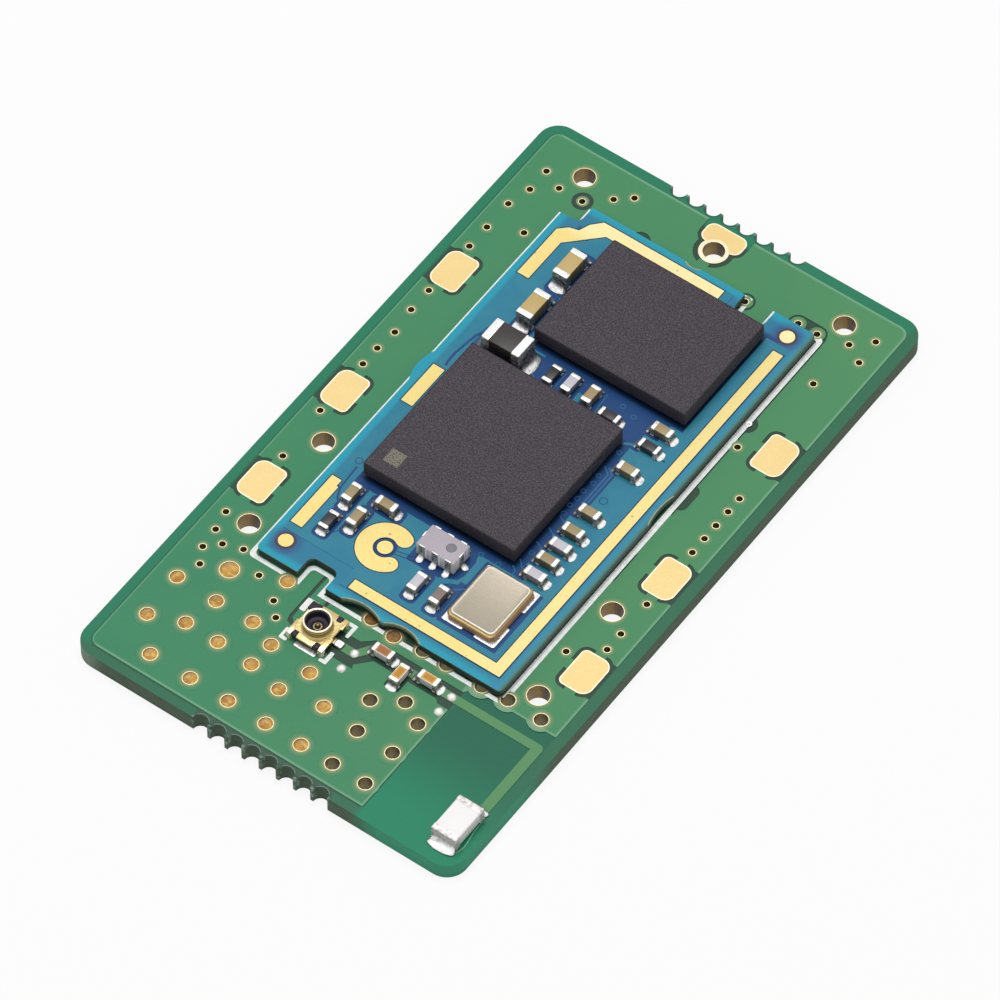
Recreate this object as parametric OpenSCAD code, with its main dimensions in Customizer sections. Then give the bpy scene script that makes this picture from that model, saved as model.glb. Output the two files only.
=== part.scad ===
// Short-range radio module soldered on a carrier board, in millimetres.
// The origin is the middle of the carrier's underside. +Z is up, +Y runs along the long side.

/* [Carrier board] */
// Thickness of the laminate with its mask
carrier_t = 0.86; // [0.6:0.02:1.6]
// Carrier left free beside the module on each long side
side_strip = 3.55; // [3.3:0.05:6]
// Carrier left free below the module, for the aerial and its line
bottom_strip = 8.35; // [8:0.05:12]
// Carrier left free above the module
top_strip = 3.35; // [3:0.05:6]
// Radius of the carrier's corners
carrier_corner_r = 1; // [0.3:0.1:2]
// Radius of the break-off holes at the short edges
bite_r = 0.37; // [0.2:0.01:0.42]
// Distance between break-off holes
bite_pitch = 0.9; // [0.86:0.02:1.2]
// Break-off holes at each short edge
bite_count = 8; // [3:1:9]

/* [Plated holes] */
// Radius of the pin holes inside their plating
pin_hole_r = 0.5; // [0.4:0.01:0.6]
// Pin holes beside the module, in from the long edge
pin_side_inset = 2.37; // [2.2:0.01:2.6]
// Lower pin holes beside the module, up from the module's lower edge
pin_low_up = 1.08; // [0.8:0.02:1.3]
// Upper pin holes beside the module, down from the top edge
pin_high_down = 20.22; // [20:0.02:20.5]
// Pin holes above the module, down from the top edge
pin_top_down = 1.9; // [1.8:0.02:2]
// Distance between pin holes above the module
pin_top_pitch = 6.94; // [6:0.02:7.2]
// Radius of a ground via inside its plating
ground_via_r = 0.32; // [0.2:0.01:0.34]
// Radius of the one wide ground via
wide_via_r = 0.42; // [0.3:0.01:0.5]
// Radius of a fine via inside its plating
fine_via_r = 0.15; // [0.08:0.01:0.18]
// Wall of the copper plating in the holes
plating_t = 0.03; // [0.02:0.005:0.05]
// Width of the ring that shows round a plated hole
land_ring = 0.04; // [0.02:0.005:0.06]
// Depth of the filling below the rim of a filled via
plug_drop = 0.05; // [0.02:0.01:0.2]

/* [Carrier copper] */
// Height of copper and mask above the bare laminate
copper_t = 0.04; // [0.02:0.005:0.08]
// Margin without copper along the carrier's edge
copper_margin = 0.52; // [0.3:0.02:0.6]
// Radius of the corners of that copper
copper_corner_r = 0.5; // [0.1:0.1:1]
// Width of a gold test pad
pad_w = 1.52; // [1.2:0.02:1.6]
// Length of a gold test pad
pad_l = 2.08; // [1.6:0.02:2.2]
// Test pads, in from the long edge
pad_inset = 0.68; // [0.6:0.02:0.8]
// Gap between a test pad and the copper round it
pad_gap = 0.17; // [0.05:0.01:0.2]
// Width of the copper ties that cross that gap
pad_tie = 0.55; // [0.2:0.05:0.8]
// Width of the line from the connector to the aerial
rf_line_w = 0.42; // [0.25:0.01:0.5]
// The aerial line's centre, down from the module's lower edge
rf_line_down = 1.14; // [1.05:0.01:1.25]
// Right edge of the copper, from the middle of the carrier
copper_end_x = 4.97; // [4.85:0.01:5.3]
// Outer edge of the white printed line, out from the module's edge
legend_out = 0.26; // [0.15:0.01:0.35]
// Gap between that line and the module's edge
legend_gap = 0.06; // [0.02:0.01:0.1]
// Height of the white print
legend_t = 0.02; // [0.01:0.005:0.04]

/* [Module board] */
// Thickness of the module's laminate
module_t = 0.38; // [0.3:0.02:0.8]
// Height of copper and mask on the module
module_copper_t = 0.02; // [0.01:0.005:0.04]
// Height of the solder between the two boards
joint_t = 0.07; // [0.04:0.01:0.2]
// Radius of the module's corners
module_corner_r = 0.25; // [0.1:0.05:0.3]
// Width of the lower notch
low_notch_w = 1.5; // [1.2:0.05:1.8]
// Width of the upper notch
top_notch_w = 1.6; // [1.2:0.05:1.8]
// Depth of both notches and of the cut corner
notch_d = 1.02; // [0.8:0.02:1.2]
// Length of the stub left at a broken-off tab
tab_l = 1.9; // [1:0.1:2.4]
// Height of that stub
tab_h = 0.2; // [0.1:0.02:0.3]
// Width of the shield lands at the left and top
wide_land = 0.6; // [0.4:0.02:0.8]
// Width of the shield lands at the right and bottom
slim_land = 0.52; // [0.4:0.02:0.7]
// Land to board edge at the left and top
wide_land_inset = 0.38; // [0.3:0.02:0.5]
// Land to board edge at the right
slim_land_inset = 0.52; // [0.45:0.02:0.7]
// Land to board edge at the bottom
low_land_inset = 0.6; // [0.45:0.02:0.8]

/* [Chips] */
// Width and length of the radio chip
radio_w = 8; // [7:0.1:9]
// Thickness of the radio chip's package
radio_t = 0.77; // [0.5:0.01:1.2]
// Distance between the radio chip's solder balls
radio_ball_pitch = 0.65; // [0.5:0.05:0.7]
// Width of the memory chip
memory_w = 8; // [7:0.1:8.4]
// Length of the memory chip
memory_l = 6; // [5:0.1:7]
// Thickness of the memory chip's package
memory_t = 0.77; // [0.5:0.01:1.2]
// Distance between the memory chip's solder balls
memory_ball_pitch = 0.8; // [0.65:0.05:0.9]
// Height of the solder balls under both chips
ball_h = 0.2; // [0.1:0.01:0.3]

/* [Crystal and filter] */
// Width of the crystal's ceramic base
crystal_w = 2.5; // [2.2:0.1:2.8]
// Length of the crystal's ceramic base
crystal_l = 3.2; // [2.8:0.1:3.6]
// Height of the crystal's ceramic base
crystal_base_h = 0.26; // [0.2:0.02:0.6]
// Length of the filter
filter_l = 2; // [1.8:0.1:2.2]
// Width of the filter
filter_w = 1.25; // [1.1:0.05:1.4]
// Height of the filter
filter_h = 0.78; // [0.5:0.02:1]

/* [Small chips] */
// Length of a small chip
chip_l = 1; // [0.8:0.05:1.2]
// Width of a small chip
chip_w = 0.5; // [0.4:0.02:0.6]
// Height of a small capacitor
capacitor_h = 0.48; // [0.3:0.02:0.6]
// Height of a small inductor
inductor_h = 0.44; // [0.3:0.02:0.6]
// Height of a small resistor
resistor_h = 0.34; // [0.25:0.01:0.5]
// Length of a supply capacitor
supply_l = 1.6; // [1.4:0.05:1.8]
// Width and height of a supply capacitor
supply_w = 0.8; // [0.6:0.02:0.9]
// Length of the bulk capacitor
bulk_l = 2; // [1.8:0.05:2.2]
// Width of the bulk capacitor
bulk_w = 1.25; // [1:0.05:1.4]
// Height of the bulk capacitor
bulk_h = 1.18; // [0.6:0.02:1.3]
// Solder under a chip's terminals
solder_t = 0.03; // [0.02:0.005:0.06]

/* [Aerial and connector] */
// Width of the aerial chip
antenna_w = 1.3; // [1:0.05:1.5]
// Length of the aerial chip
antenna_l = 2.05; // [1.8:0.05:2.4]
// Height of the aerial chip
antenna_h = 0.7; // [0.5:0.02:1]
// Width of the connector's base
connector_w = 1.9; // [1.7:0.05:2.1]
// Length of the connector's base
connector_l = 2; // [1.8:0.05:2.2]
// Outer radius of the connector's barrel
barrel_r = 0.65; // [0.55:0.01:0.75]
// Height of the connector above the carrier
connector_h = 0.86; // [0.7:0.02:1.2]

/* [Hidden] */
$fn = 48;

// Clearance between a plated hole and what it is set in
fit = 0.005;
// How far a cutting shape runs past the face that it cuts
past = 1;

// Gaps between the pieces on the module, from left to right and from bottom to top
radio_gap_left = 0.5;
column_gap = 0.66;
column_to_land = 0.72;
crystal_gap_low = 0.63;
crystal_gap_high = 0.74;
bulk_gap_low = 0.31;
bulk_gap_high = 0.57;
memory_gap_high = 0.5;
memory_gap_right = 0.68;
supply_to_memory = 0.86;
supply_gap_left = 0.5;
crystal_gap_right = 0.66;
filter_gap_right = 0.97;
filter_gap_high = 0.74;
probe_to_filter = [1.25, 0.49];
chips_to_probe = 2.95;

// The widest of the three rows between the lands sets the module's width
radio_row_w = radio_gap_left + radio_w + column_gap + chip_l + column_to_land;
memory_row_w = supply_gap_left + supply_w / 2 + supply_to_memory + memory_w + memory_gap_right;
low_row_w = radio_gap_left + chips_to_probe + probe_to_filter[0] + filter_l + filter_gap_right + crystal_w
    + crystal_gap_right;
inner_w = max(radio_row_w, memory_row_w, low_row_w);
module_w = wide_land_inset + wide_land + inner_w + slim_land + slim_land_inset;
module_l = low_land_inset + slim_land + crystal_gap_low + crystal_l + crystal_gap_high + radio_w
    + bulk_gap_low + bulk_w + bulk_gap_high + memory_l + memory_gap_high + wide_land + wide_land_inset;
carrier_w = module_w + 2 * side_strip;
carrier_l = bottom_strip + module_l + top_strip;

left_x = -carrier_w / 2;
right_x = carrier_w / 2;
bottom_y = -carrier_l / 2;
top_y = carrier_l / 2;
module_x0 = -module_w / 2;
module_x1 = module_w / 2;
module_y0 = bottom_y + bottom_strip;
module_y1 = module_y0 + module_l;

carrier_top = carrier_t + copper_t;
module_z = carrier_top + joint_t;
module_face = module_z + module_t;
module_top = module_face + module_copper_t;

// Outer edges of the shield lands
land_x0 = module_x0 + wide_land_inset;
land_x1 = module_x1 - slim_land_inset;
land_y0 = module_y0 + low_land_inset;
land_y1 = module_y1 - wide_land_inset;

radio_x0 = land_x0 + wide_land + radio_gap_left;
radio_x1 = radio_x0 + radio_w;
crystal_y0 = land_y0 + slim_land + crystal_gap_low;
radio_y0 = crystal_y0 + crystal_l + crystal_gap_high;
radio_y1 = radio_y0 + radio_w;
memory_y0 = radio_y1 + bulk_gap_low + bulk_w + bulk_gap_high;
memory_x1 = land_x1 - slim_land - memory_gap_right;
memory_x0 = memory_x1 - memory_w;
supply_x = memory_x0 - supply_to_memory;
column_x = radio_x1 + column_gap + chip_l / 2;
crystal_x1 = land_x1 - slim_land - crystal_gap_right;
crystal_x0 = crystal_x1 - crystal_w;
filter_x1 = crystal_x0 - filter_gap_right;
filter_x0 = filter_x1 - filter_l;
filter_y1 = radio_y0 - filter_gap_high;
filter_y0 = filter_y1 - filter_w;
probe_x = filter_x0 - probe_to_filter[0];
probe_y = filter_y0 - probe_to_filter[1];

rf_y = module_y0 - rf_line_down;
connector_x = -1.87;
connector_down = 0.6;
connector_y = rf_y - connector_down;
antenna_inset = 1.17;
antenna_up = 2;
antenna_x = right_x - antenna_inset;
antenna_y = bottom_y + antenna_up;

// Kinds of small chip: length, width, height, length of a terminal, size of a solder fillet
terminal_t = 0.02;
chip_cap_l = 0.2;
chip_fillet = 0.27;
resistor_cap_l = 0.18;
resistor_fillet = 0.24;
supply_cap_l = 0.28;
supply_fillet = 0.4;
bulk_cap_l = 0.4;
bulk_fillet = 0.48;
capacitor = [chip_l, chip_w, capacitor_h, chip_cap_l, chip_fillet];
inductor = [chip_l, chip_w, inductor_h, chip_cap_l, chip_fillet];
resistor = [chip_l, chip_w, resistor_h, resistor_cap_l, resistor_fillet];
supply = [supply_l, supply_w, supply_w, supply_cap_l, supply_fillet];
bulk = [bulk_l, bulk_w, bulk_h, bulk_cap_l, bulk_fillet];

// Chips in the column at the right: name and kind, then the heights of their middles
column_kinds = [
    ["bypass_capacitor_1", capacitor], ["pullup_resistor_1", resistor], ["bypass_capacitor_2", capacitor],
    ["bypass_capacitor_3", capacitor], ["bypass_capacitor_4", capacitor], ["tuning_inductor_1", inductor],
    ["bypass_capacitor_5", capacitor], ["tuning_inductor_2", inductor]];
column_up = [9.27, 8.3, 6.7, 3.9, 2.7, 1.76, 0.84, -0.08];

// Chips above the radio chip: name, kind and turn, then their middles from its upper left corner
above_kinds = [
    ["pullup_resistor_2", resistor, 90], ["tuning_inductor_3", inductor, 90], ["bypass_capacitor_6", capacitor, 90],
    ["pullup_resistor_3", resistor, 0], ["bulk_capacitor", bulk, 0]];
above_spots = [[3.5, 1], [4.46, 1.02], [5.55, 1.02], [6.8, 0.65], [1.2, 0.94]];

// Chips below the radio chip, from its lower left corner
below_kinds = [
    ["bypass_capacitor_7", capacitor, 90], ["pullup_resistor_4", resistor, 90], ["bypass_capacitor_8", capacitor, 90],
    ["bypass_capacitor_9", capacitor, 0]];
below_spots = [[0.3, -1.21], [0.32, -2.88], [1.22, -2.11], [1.9, -0.84]];

// Heights of the chips left of the memory chip, and middles of those left of the crystal, from the lower left
// corner of each
supply_up = [3.9, 1.2];
inductor_spot = [-1.9, 0.6];
load_spot = [-0.72, 0.56];

// Chips on the module: name, kind, middle, turn
radio_low_corner = [radio_x0, radio_y0];
radio_high_corner = [radio_x0, radio_y1];
crystal_corner = [crystal_x0, crystal_y0];
module_chips = concat(
    [for (i = [0 : len(column_kinds) - 1])
        [column_kinds[i][0], column_kinds[i][1], [column_x, radio_y0 + column_up[i]], 0]],
    [for (i = [0 : len(above_kinds) - 1])
        [above_kinds[i][0], above_kinds[i][1], radio_high_corner + above_spots[i], above_kinds[i][2]]],
    [for (i = [0 : len(below_kinds) - 1])
        [below_kinds[i][0], below_kinds[i][1], radio_low_corner + below_spots[i], below_kinds[i][2]]],
    [["supply_capacitor_1", supply, [supply_x, memory_y0 + supply_up[0]], 90],
     ["supply_capacitor_2", supply, [supply_x, memory_y0 + supply_up[1]], 90],
     ["tuning_inductor_4", inductor, crystal_corner + inductor_spot, 90],
     ["load_capacitor", capacitor, crystal_corner + load_spot, 90]]);

// Chips in the aerial line: one in line, one to the ground, one in line
line_chip_x = [1.15, 2.36, 3.54];
shunt_down = 0.52;
carrier_chips = [
    ["antenna_inductor_1", inductor, [line_chip_x[0], rf_y], 0],
    ["antenna_inductor_2", inductor, [line_chip_x[1], rf_y - shunt_down], 90],
    ["antenna_inductor_3", inductor, [line_chip_x[2], rf_y], 0]];

// Pads by the aerial line that carry solder and no chip, from the middle and from the line
spare_pad_spots = [[0.07, -0.6], [0.07, -1.55], [4.72, 0], [4.72, -0.92]];
spare_pads = [for (p = spare_pad_spots) [p[0], rf_y + p[1]]];
spare_pad_r = 0.22;

// Pin holes: three above the module and two on each side of it
pin_holes = concat(
    [for (i = [-1:1]) [i * pin_top_pitch, top_y - pin_top_down]],
    [for (side = [-1, 1], y = [top_y - pin_high_down, module_y0 + pin_low_up])
        [side * (right_x - pin_side_inset), y]]);

// Ground vias, from the middle and from the module's lower edge
filled_via_spots = [
    [-4.48, -0.4], [-0.4, 0.12], [0.88, -0.06], [-8.43, -2.95], [-6.31, -3], [-4.4, -2.95],
    [-3.07, -3.45], [-0.88, -3.65], [-6.69, -4.65], [-4.98, -4.65], [-3.14, -4.75], [-1.43, -5.1],
    [-8.29, -5.25], [0.64, -4.7]];
open_via_spots = [
    [2.33, 0.08], [3.57, 0.08], [5.43, 0.05], [3.29, -2.5], [2.02, -3.28], [4.38, -3.1],
    [2.52, -4.87], [4.38, -4.9]];
// The lowest row of ground vias, from the middle
low_row_up = 1.52;
filled_low_row = [-6.93, -4.81, -2.81, -0.83, 1.02];
open_low_row = [2.67, 4.38];
// Ground vias beside the lower right pin hole, in from the right edge
corner_vias_in = [3.27, 1.55];
corner_via_up = 0.13;
wide_via_spot = [-6.85, -1.35];
wide_via = [wide_via_spot[0], module_y0 + wide_via_spot[1]];

filled_vias = concat(
    [for (p = filled_via_spots) [p[0], module_y0 + p[1]]],
    [for (x = filled_low_row) [x, bottom_y + low_row_up]]);
open_vias = concat(
    [for (p = open_via_spots) [p[0], module_y0 + p[1]]],
    [for (x = open_low_row) [x, bottom_y + low_row_up]],
    [for (d = corner_vias_in) [right_x - d, module_y0 + corner_via_up]]);

// Fine vias, in from a long edge and down from the top edge
fine_left = [
    [1.5, 2.6], [2.5, 3.05], [1.5, 3.85], [1.2, 5.05], [2.7, 5.95], [1.2, 6.65], [1.2, 7.95],
    [1.2, 10.95], [1.2, 12.25], [1.35, 13.65], [1.25, 14.8], [1.25, 15.85], [1.25, 18.95]];
fine_right = [
    [1.45, 1.85], [2.3, 2.65], [1.4, 3.2], [2.35, 5.3], [3.05, 10], [1.4, 12.2], [1.4, 13.05],
    [1.4, 13.95], [1.4, 14.8], [1.4, 15.7], [1.4, 19.05], [1.4, 20.95]];
// Fine vias above the module, from the middle and down from the top edge
fine_top = [[-4.5, 1.55], [-5.2, 2.15]];
// Fine vias that stand in a ring without copper
ringed_top = [[-6.25, 3.05], [2.7, 3.38], [5.25, 3], [6.25, 3]];
// Fine vias near the module's lower edge, in from a long edge and up from that edge of the module
fine_low_left = [[1.4, 4.8], [1.2, 1], [1.4, 0], [3, -0.15], [2.1, -0.45], [1.5, -1.05], [1.95, -1.85]];
fine_low_right = [[1.4, 4.7], [2.75, 3.6]];
// Fine vias left of the connector, from the middle and from the module's lower edge
fine_low_mid = [[-5.65, -0.85], [-4.35, -1.55], [-3.75, -2.2]];

ringed_vias = [for (p = ringed_top) [p[0], top_y - p[1]]];
// A round gap in the copper that the module half covers
half_ring_spot = [-2.95, 3.32];
half_ring = [half_ring_spot[0], top_y - half_ring_spot[1]];
fine_vias = concat(
    ringed_vias,
    [for (p = fine_left) [left_x + p[0], top_y - p[1]]],
    [for (p = fine_right) [right_x - p[0], top_y - p[1]]],
    [for (p = fine_top) [p[0], top_y - p[1]]],
    [for (p = fine_low_left) [left_x + p[0], module_y0 + p[1]]],
    [for (p = fine_low_right) [right_x - p[0], module_y0 + p[1]]],
    [for (p = fine_low_mid) [p[0], module_y0 + p[1]]]);
via_ring_r = 0.47;

// Every plated hole as its middle and its inner radius
plated_holes = concat(
    [for (p = pin_holes) [p, pin_hole_r]],
    [for (p = filled_vias) [p, ground_via_r]],
    [for (p = open_vias) [p, ground_via_r]],
    [[wide_via, wide_via_r]],
    [for (p = fine_vias) [p, fine_via_r]]);
function land_r(hole_r) = hole_r + plating_t + land_ring;

// Side test pads: two rows down from the top edge, one up from the module's lower edge
pad_rows_down = [9.45, 17.47];
pad_row_up = 3.18;
pad_rows = concat([for (d = pad_rows_down) top_y - d], [module_y0 + pad_row_up]);
pad_outer_r = 0.5;
pad_inner_r = 0.28;
top_pad_w = 2.07;
top_pad_l = 1.07;
top_pad_down = 1.11;
top_pad_r = 0.4;
top_pad_ring_r = 0.69;
top_pad_ring_gap = 0.24;
top_pad_side_gap = 0.18;

// A rectangle with round corners about the origin
module round_rect(w, l, r) {
    square([w - 2 * r, l], center = true);
    square([w, l - 2 * r], center = true);
    for (x = [-1, 1], y = [-1, 1]) translate([x * (w / 2 - r), y * (l / 2 - r)]) circle(r);
}

// A rectangle between two corners
module span(x0, x1, y0, y1) translate([x0, y0]) square([x1 - x0, y1 - y0]);

// A cut with one straight edge and two round inner corners, open upwards
module round_slot(w, d, r) {
    translate([-w / 2, 0]) square([w, past]);
    translate([-w / 2, -d + r]) square([w, d - r]);
    translate([-w / 2 + r, -d]) square([w - 2 * r, d]);
    for (x = [-1, 1]) translate([x * (w / 2 - r), -d + r]) circle(r);
}

module layer(z, t) translate([0, 0, z]) linear_extrude(t) children();

module at(p) translate([p[0], p[1], 0]) children();

// Carrier board and its copper

module carrier_board() color("seagreen") difference() {
    linear_extrude(carrier_t) difference() {
        round_rect(carrier_w, carrier_l, carrier_corner_r);
        for (i = [0 : bite_count - 1], y = [bottom_y, top_y])
            translate([(i - (bite_count - 1) / 2) * bite_pitch, y]) circle(bite_r);
        for (h = plated_holes) at(h[0]) circle(h[1] + plating_t + fit);
    }
    for (h = plated_holes) at(h[0]) translate([0, 0, -past])
        cylinder(h = past + copper_t, r = land_r(h[1]) + fit);
}

// A pad that is rounder on its outer side, the side of -X
module pad_outline(grow) {
    w = pad_w + 2 * grow;
    l = pad_l + 2 * grow;
    ro = pad_outer_r + grow;
    ri = pad_inner_r + grow;
    span(-w / 2 + ro, w / 2 - ri, -l / 2, l / 2);
    span(-w / 2, 0, -l / 2 + ro, l / 2 - ro);
    span(0, w / 2, -l / 2 + ri, l / 2 - ri);
    for (y = [-1, 1]) {
        translate([-w / 2 + ro, y * (l / 2 - ro)]) circle(ro);
        translate([w / 2 - ri, y * (l / 2 - ri)]) circle(ri);
    }
}

module on_side_pads() for (side = [0, 1], y = pad_rows)
    mirror([side, 0]) translate([left_x + pad_inset + pad_w / 2, y]) children();

module top_pad_outline(grow) {
    translate([0, top_y - top_pad_down]) round_rect(top_pad_w + 2 * grow, top_pad_l + 2 * grow, top_pad_r + grow);
    translate([0, top_y - pin_top_down]) circle(top_pad_ring_r + grow);
}

module test_pads() color("khaki") layer(carrier_t, copper_t) {
    on_side_pads() pad_outline(0);
    difference() {
        top_pad_outline(0);
        translate([0, top_y - pin_top_down]) circle(land_r(pin_hole_r) + fit);
    }
}

// The gap round a test pad, open to the board's edge and crossed by three ties
module pad_relief() {
    difference() {
        pad_outline(pad_gap);
        square([pad_tie, pad_l + past], center = true);
        span(0, pad_w, -pad_tie / 2, pad_tie / 2);
    }
    pad_outline(fit);
    translate([-pad_w / 2 - pad_inset, -pad_l / 2]) square([pad_inset + pad_outer_r, pad_l]);
}

module top_pad_relief() {
    difference() {
        union() {
            top_pad_outline(pad_gap);
            translate([0, top_y - pin_top_down]) circle(top_pad_ring_r + top_pad_ring_gap);
        }
        translate([0, top_y - pin_top_down - top_pad_ring_r - top_pad_ring_gap])
            square([pad_tie, 2 * top_pad_ring_gap], center = true);
    }
    top_pad_outline(fit);
    side_x = top_pad_w / 2 + top_pad_side_gap;
    span(-side_x, side_x, top_y - top_pad_down, top_y);
}

// The area without copper round the aerial, and the channel of its line
aerial_area_gap = 0.25;
aerial_area_slope = 0.25;
rf_channel_up = 0.49;
// Corners of the channel, from the middle and from the line
channel_corners = [
    [-1.2, 0.05], [-0.1, 0.05], [0.42, 0.49], [5.2, 0.49], [5.2, -0.62], [4.4, -0.62], [4.25, -0.45], [0.95, -0.45],
    [0.35, -1.1], [0.45, -1.3], [-1.2, -1.3]];
shunt_clearing = [0.75, 0.9];
shunt_clearing_down = 0.7;

module aerial_area() {
    high_y = module_y0 - aerial_area_gap;
    polygon([
        [copper_end_x, bottom_y], [copper_end_x, rf_y + rf_channel_up], [copper_end_x + aerial_area_slope, high_y],
        [right_x, high_y], [right_x, bottom_y]]);
}

module rf_channel() translate([0, rf_y]) {
    polygon(channel_corners);
    translate([line_chip_x[1], -shunt_clearing_down]) square(shunt_clearing, center = true);
}

// Thin breaks in the copper beside the connector, from the connector's middle
break_w = 0.16;
left_break_x = -1.5;
right_of_tab_x = -0.62;
left_break_foot = [[-1.5, 0], [-1.34, 0], [-1.08, -0.25], [-1.08, -0.42], [-1.4, -0.3]];
module copper_breaks() translate([connector_x, connector_y]) {
    edge_up = module_y0 - connector_y - legend_out;
    span(left_break_x, left_break_x + break_w, 0, edge_up + notch_d);
    polygon(left_break_foot);
    span(right_of_tab_x, right_of_tab_x + break_w, connector_l / 2, edge_up);
}

// The breaks that follow the printed line on the right, with two bulges, down from the top edge
side_break_w = 0.1;
side_break_under = 0.04;
side_break_ends = [[3, 14.6], [17.15, 18.9]];
round_bulge_down = 8.75;
round_bulge_in = 0.08;
long_bulge_down = 13.5;
long_bulge = [0.8, 1.5];
long_bulge_r = 0.35;
module side_break() {
    x = module_x1 + legend_out - side_break_under;
    for (e = side_break_ends) span(x, x + side_break_w, top_y - e[1], top_y - e[0]);
    translate([x - round_bulge_in, top_y - round_bulge_down]) circle(via_ring_r);
    translate([x, top_y - long_bulge_down]) round_rect(long_bulge[0], long_bulge[1], long_bulge_r);
}

// The rings round the last two ringed vias run together
module joined_rings() {
    first = ringed_vias[2];
    last = ringed_vias[3];
    span(first[0], last[0], last[1] - via_ring_r, first[1] + via_ring_r);
}

module ground_copper() color("mediumseagreen") layer(carrier_t, copper_t) difference() {
    round_rect(carrier_w - 2 * copper_margin, carrier_l - 2 * copper_margin, copper_corner_r);
    aerial_area();
    rf_channel();
    copper_breaks();
    side_break();
    joined_rings();
    on_side_pads() pad_relief();
    top_pad_relief();
    for (p = concat(ringed_vias, [half_ring])) at(p) circle(via_ring_r);
    for (h = plated_holes) at(h[0]) circle(land_r(h[1]) + fit);
}

// The aerial's line: from the connector to the first chip, between the chips, and round to the aerial
// Bends of the first length, on its upper and its lower edge, from the middle and from the line
line_up = rf_line_w / 2;
feed_start_x = -0.62;
feed_upper_x = [0, 0.42, 0.8];
feed_upper_y = -0.4;
feed_lower_x = [0.62, 0.15];
feed_lower_y = -0.82;
under_chip = 0.25;
line_leg_w = 0.48;
line_leg_in = 0.57;
line_bend_r = 0.25;
line_under_aerial = 0.2;
module antenna_line() color("darkseagreen") layer(carrier_t, copper_t) {
    leg_edge = right_x - line_leg_in;
    bend = [leg_edge - line_bend_r, rf_y + line_up - line_bend_r];
    translate([0, rf_y]) {
        polygon([
            [feed_start_x, feed_upper_y], [feed_upper_x[0], feed_upper_y], [feed_upper_x[1], line_up],
            [feed_upper_x[2], line_up], [feed_upper_x[2], -line_up], [feed_lower_x[0], -line_up],
            [feed_lower_x[1], feed_lower_y], [feed_start_x, feed_lower_y]]);
        span(line_chip_x[0] + under_chip, line_chip_x[2] - under_chip, -line_up, line_up);
        span(line_chip_x[2] + under_chip, bend[0], -line_up, line_up);
    }
    span(leg_edge - line_leg_w, leg_edge, antenna_y + antenna_l / 2 - line_under_aerial, bend[1]);
    at(bend) circle(line_bend_r);
}

// A plated hole: a tube with a flat ring at each end
module plated_hole(hole_r) rotate_extrude() {
    span(hole_r, hole_r + plating_t, 0, carrier_top);
    span(hole_r, land_r(hole_r), 0, copper_t);
    span(hole_r, land_r(hole_r), carrier_t, carrier_top);
}

module pin_hole_plating() color("goldenrod") for (p = pin_holes) at(p) plated_hole(pin_hole_r);

module ground_via_plating() color("goldenrod") {
    for (p = concat(filled_vias, open_vias)) at(p) plated_hole(ground_via_r);
    at(wide_via) plated_hole(wide_via_r);
}

module via_plug(hole_r) translate([0, 0, plug_drop])
    cylinder(h = carrier_top - 2 * plug_drop, r = hole_r - fit);

module ground_via_plugs() color("peru") {
    for (p = filled_vias) at(p) via_plug(ground_via_r);
    at(wide_via) via_plug(wide_via_r);
}

module signal_via_plating() color("goldenrod") for (p = fine_vias) at(p) plated_hole(fine_via_r);

// The printed line follows the module's edge; vias that it meets stay clear of it
via_to_legend = 0.06;
// Its outer edge along the module's upper edge
legend_top_out = 0.12;
module white_legend() color("white") layer(carrier_top, legend_t) {
    difference() {
        module_outline(legend_out);
        module_outline(legend_gap);
        span(module_x0, top_notch_x - top_notch_w, module_y1 + legend_top_out, top_y);
        for (h = plated_holes) at(h[0]) circle(land_r(h[1]) + via_to_legend);
    }
    translate([connector_x, connector_y]) for (c = corner_bars) connector_corner(c[0], c[1], c[2], c[3]);
}

// Printed corners round the connector: side across, side along, size of the upright and of the flat bar
corner_bars = [
    [-1, 1, [0.29, 0.72], [0.61, 0.19]], [1, 1, [0.18, 0.75], [0.46, 0.18]],
    [1, -1, [0.2, 0.69], [0.39, 0.18]], [-1, -1, [0.13, 0.64], [0.38, 0.17]]];
corner_bar_r = 0.06;
// Room between the printed corners and the connector, across and along
legend_to_connector = [0.13, 0.2];
module connector_corner(sx, sy, upright, flat) {
    x = connector_w / 2 + legend_to_connector[0] + upright[0];
    y = connector_l / 2 + legend_to_connector[1];
    mirror([sx < 0 ? 1 : 0, 0]) mirror([0, sy < 0 ? 1 : 0]) for (bar = [upright, flat])
        translate([x - bar[0] / 2, y - bar[1] / 2]) round_rect(bar[0], bar[1], corner_bar_r);
}

module spare_pad_solder() color("gainsboro") for (p = spare_pads) at(p) translate([0, 0, carrier_top])
    intersection() {
        translate([0, 0, -spare_pad_r / 2]) sphere(r = spare_pad_r * sqrt(5) / 2);
        cylinder(h = spare_pad_r, r = spare_pad_r + fit);
    }

// Module board and its copper

low_notch_x = -3.5;
top_notch_x = 3.46;
cut_corner_w = 0.98;
notch_r = 0.35;

// The outline that the printed line follows
module module_outline(grow) difference() {
    union() {
        translate([0, (module_y0 + module_y1) / 2])
            round_rect(module_w + 2 * grow, module_l + 2 * grow, module_corner_r);
        tab_stub();
    }
    translate([low_notch_x, module_y0 - grow]) rotate(180)
        round_slot(low_notch_w - 2 * grow, notch_d, notch_r - grow / 2);
    translate([top_notch_x, module_y1 + grow])
        round_slot(top_notch_w - 2 * grow, notch_d, notch_r - grow / 2);
    translate([module_x0 - grow, module_y1 + grow])
        round_slot(2 * cut_corner_w, notch_d, notch_r - grow / 2);
}

// Tabs that held the module in its panel left a bulge on one edge and round hollows in the others
function chord_r(l, h) = (l * l / 4 + h * h) / (2 * h);

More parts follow.
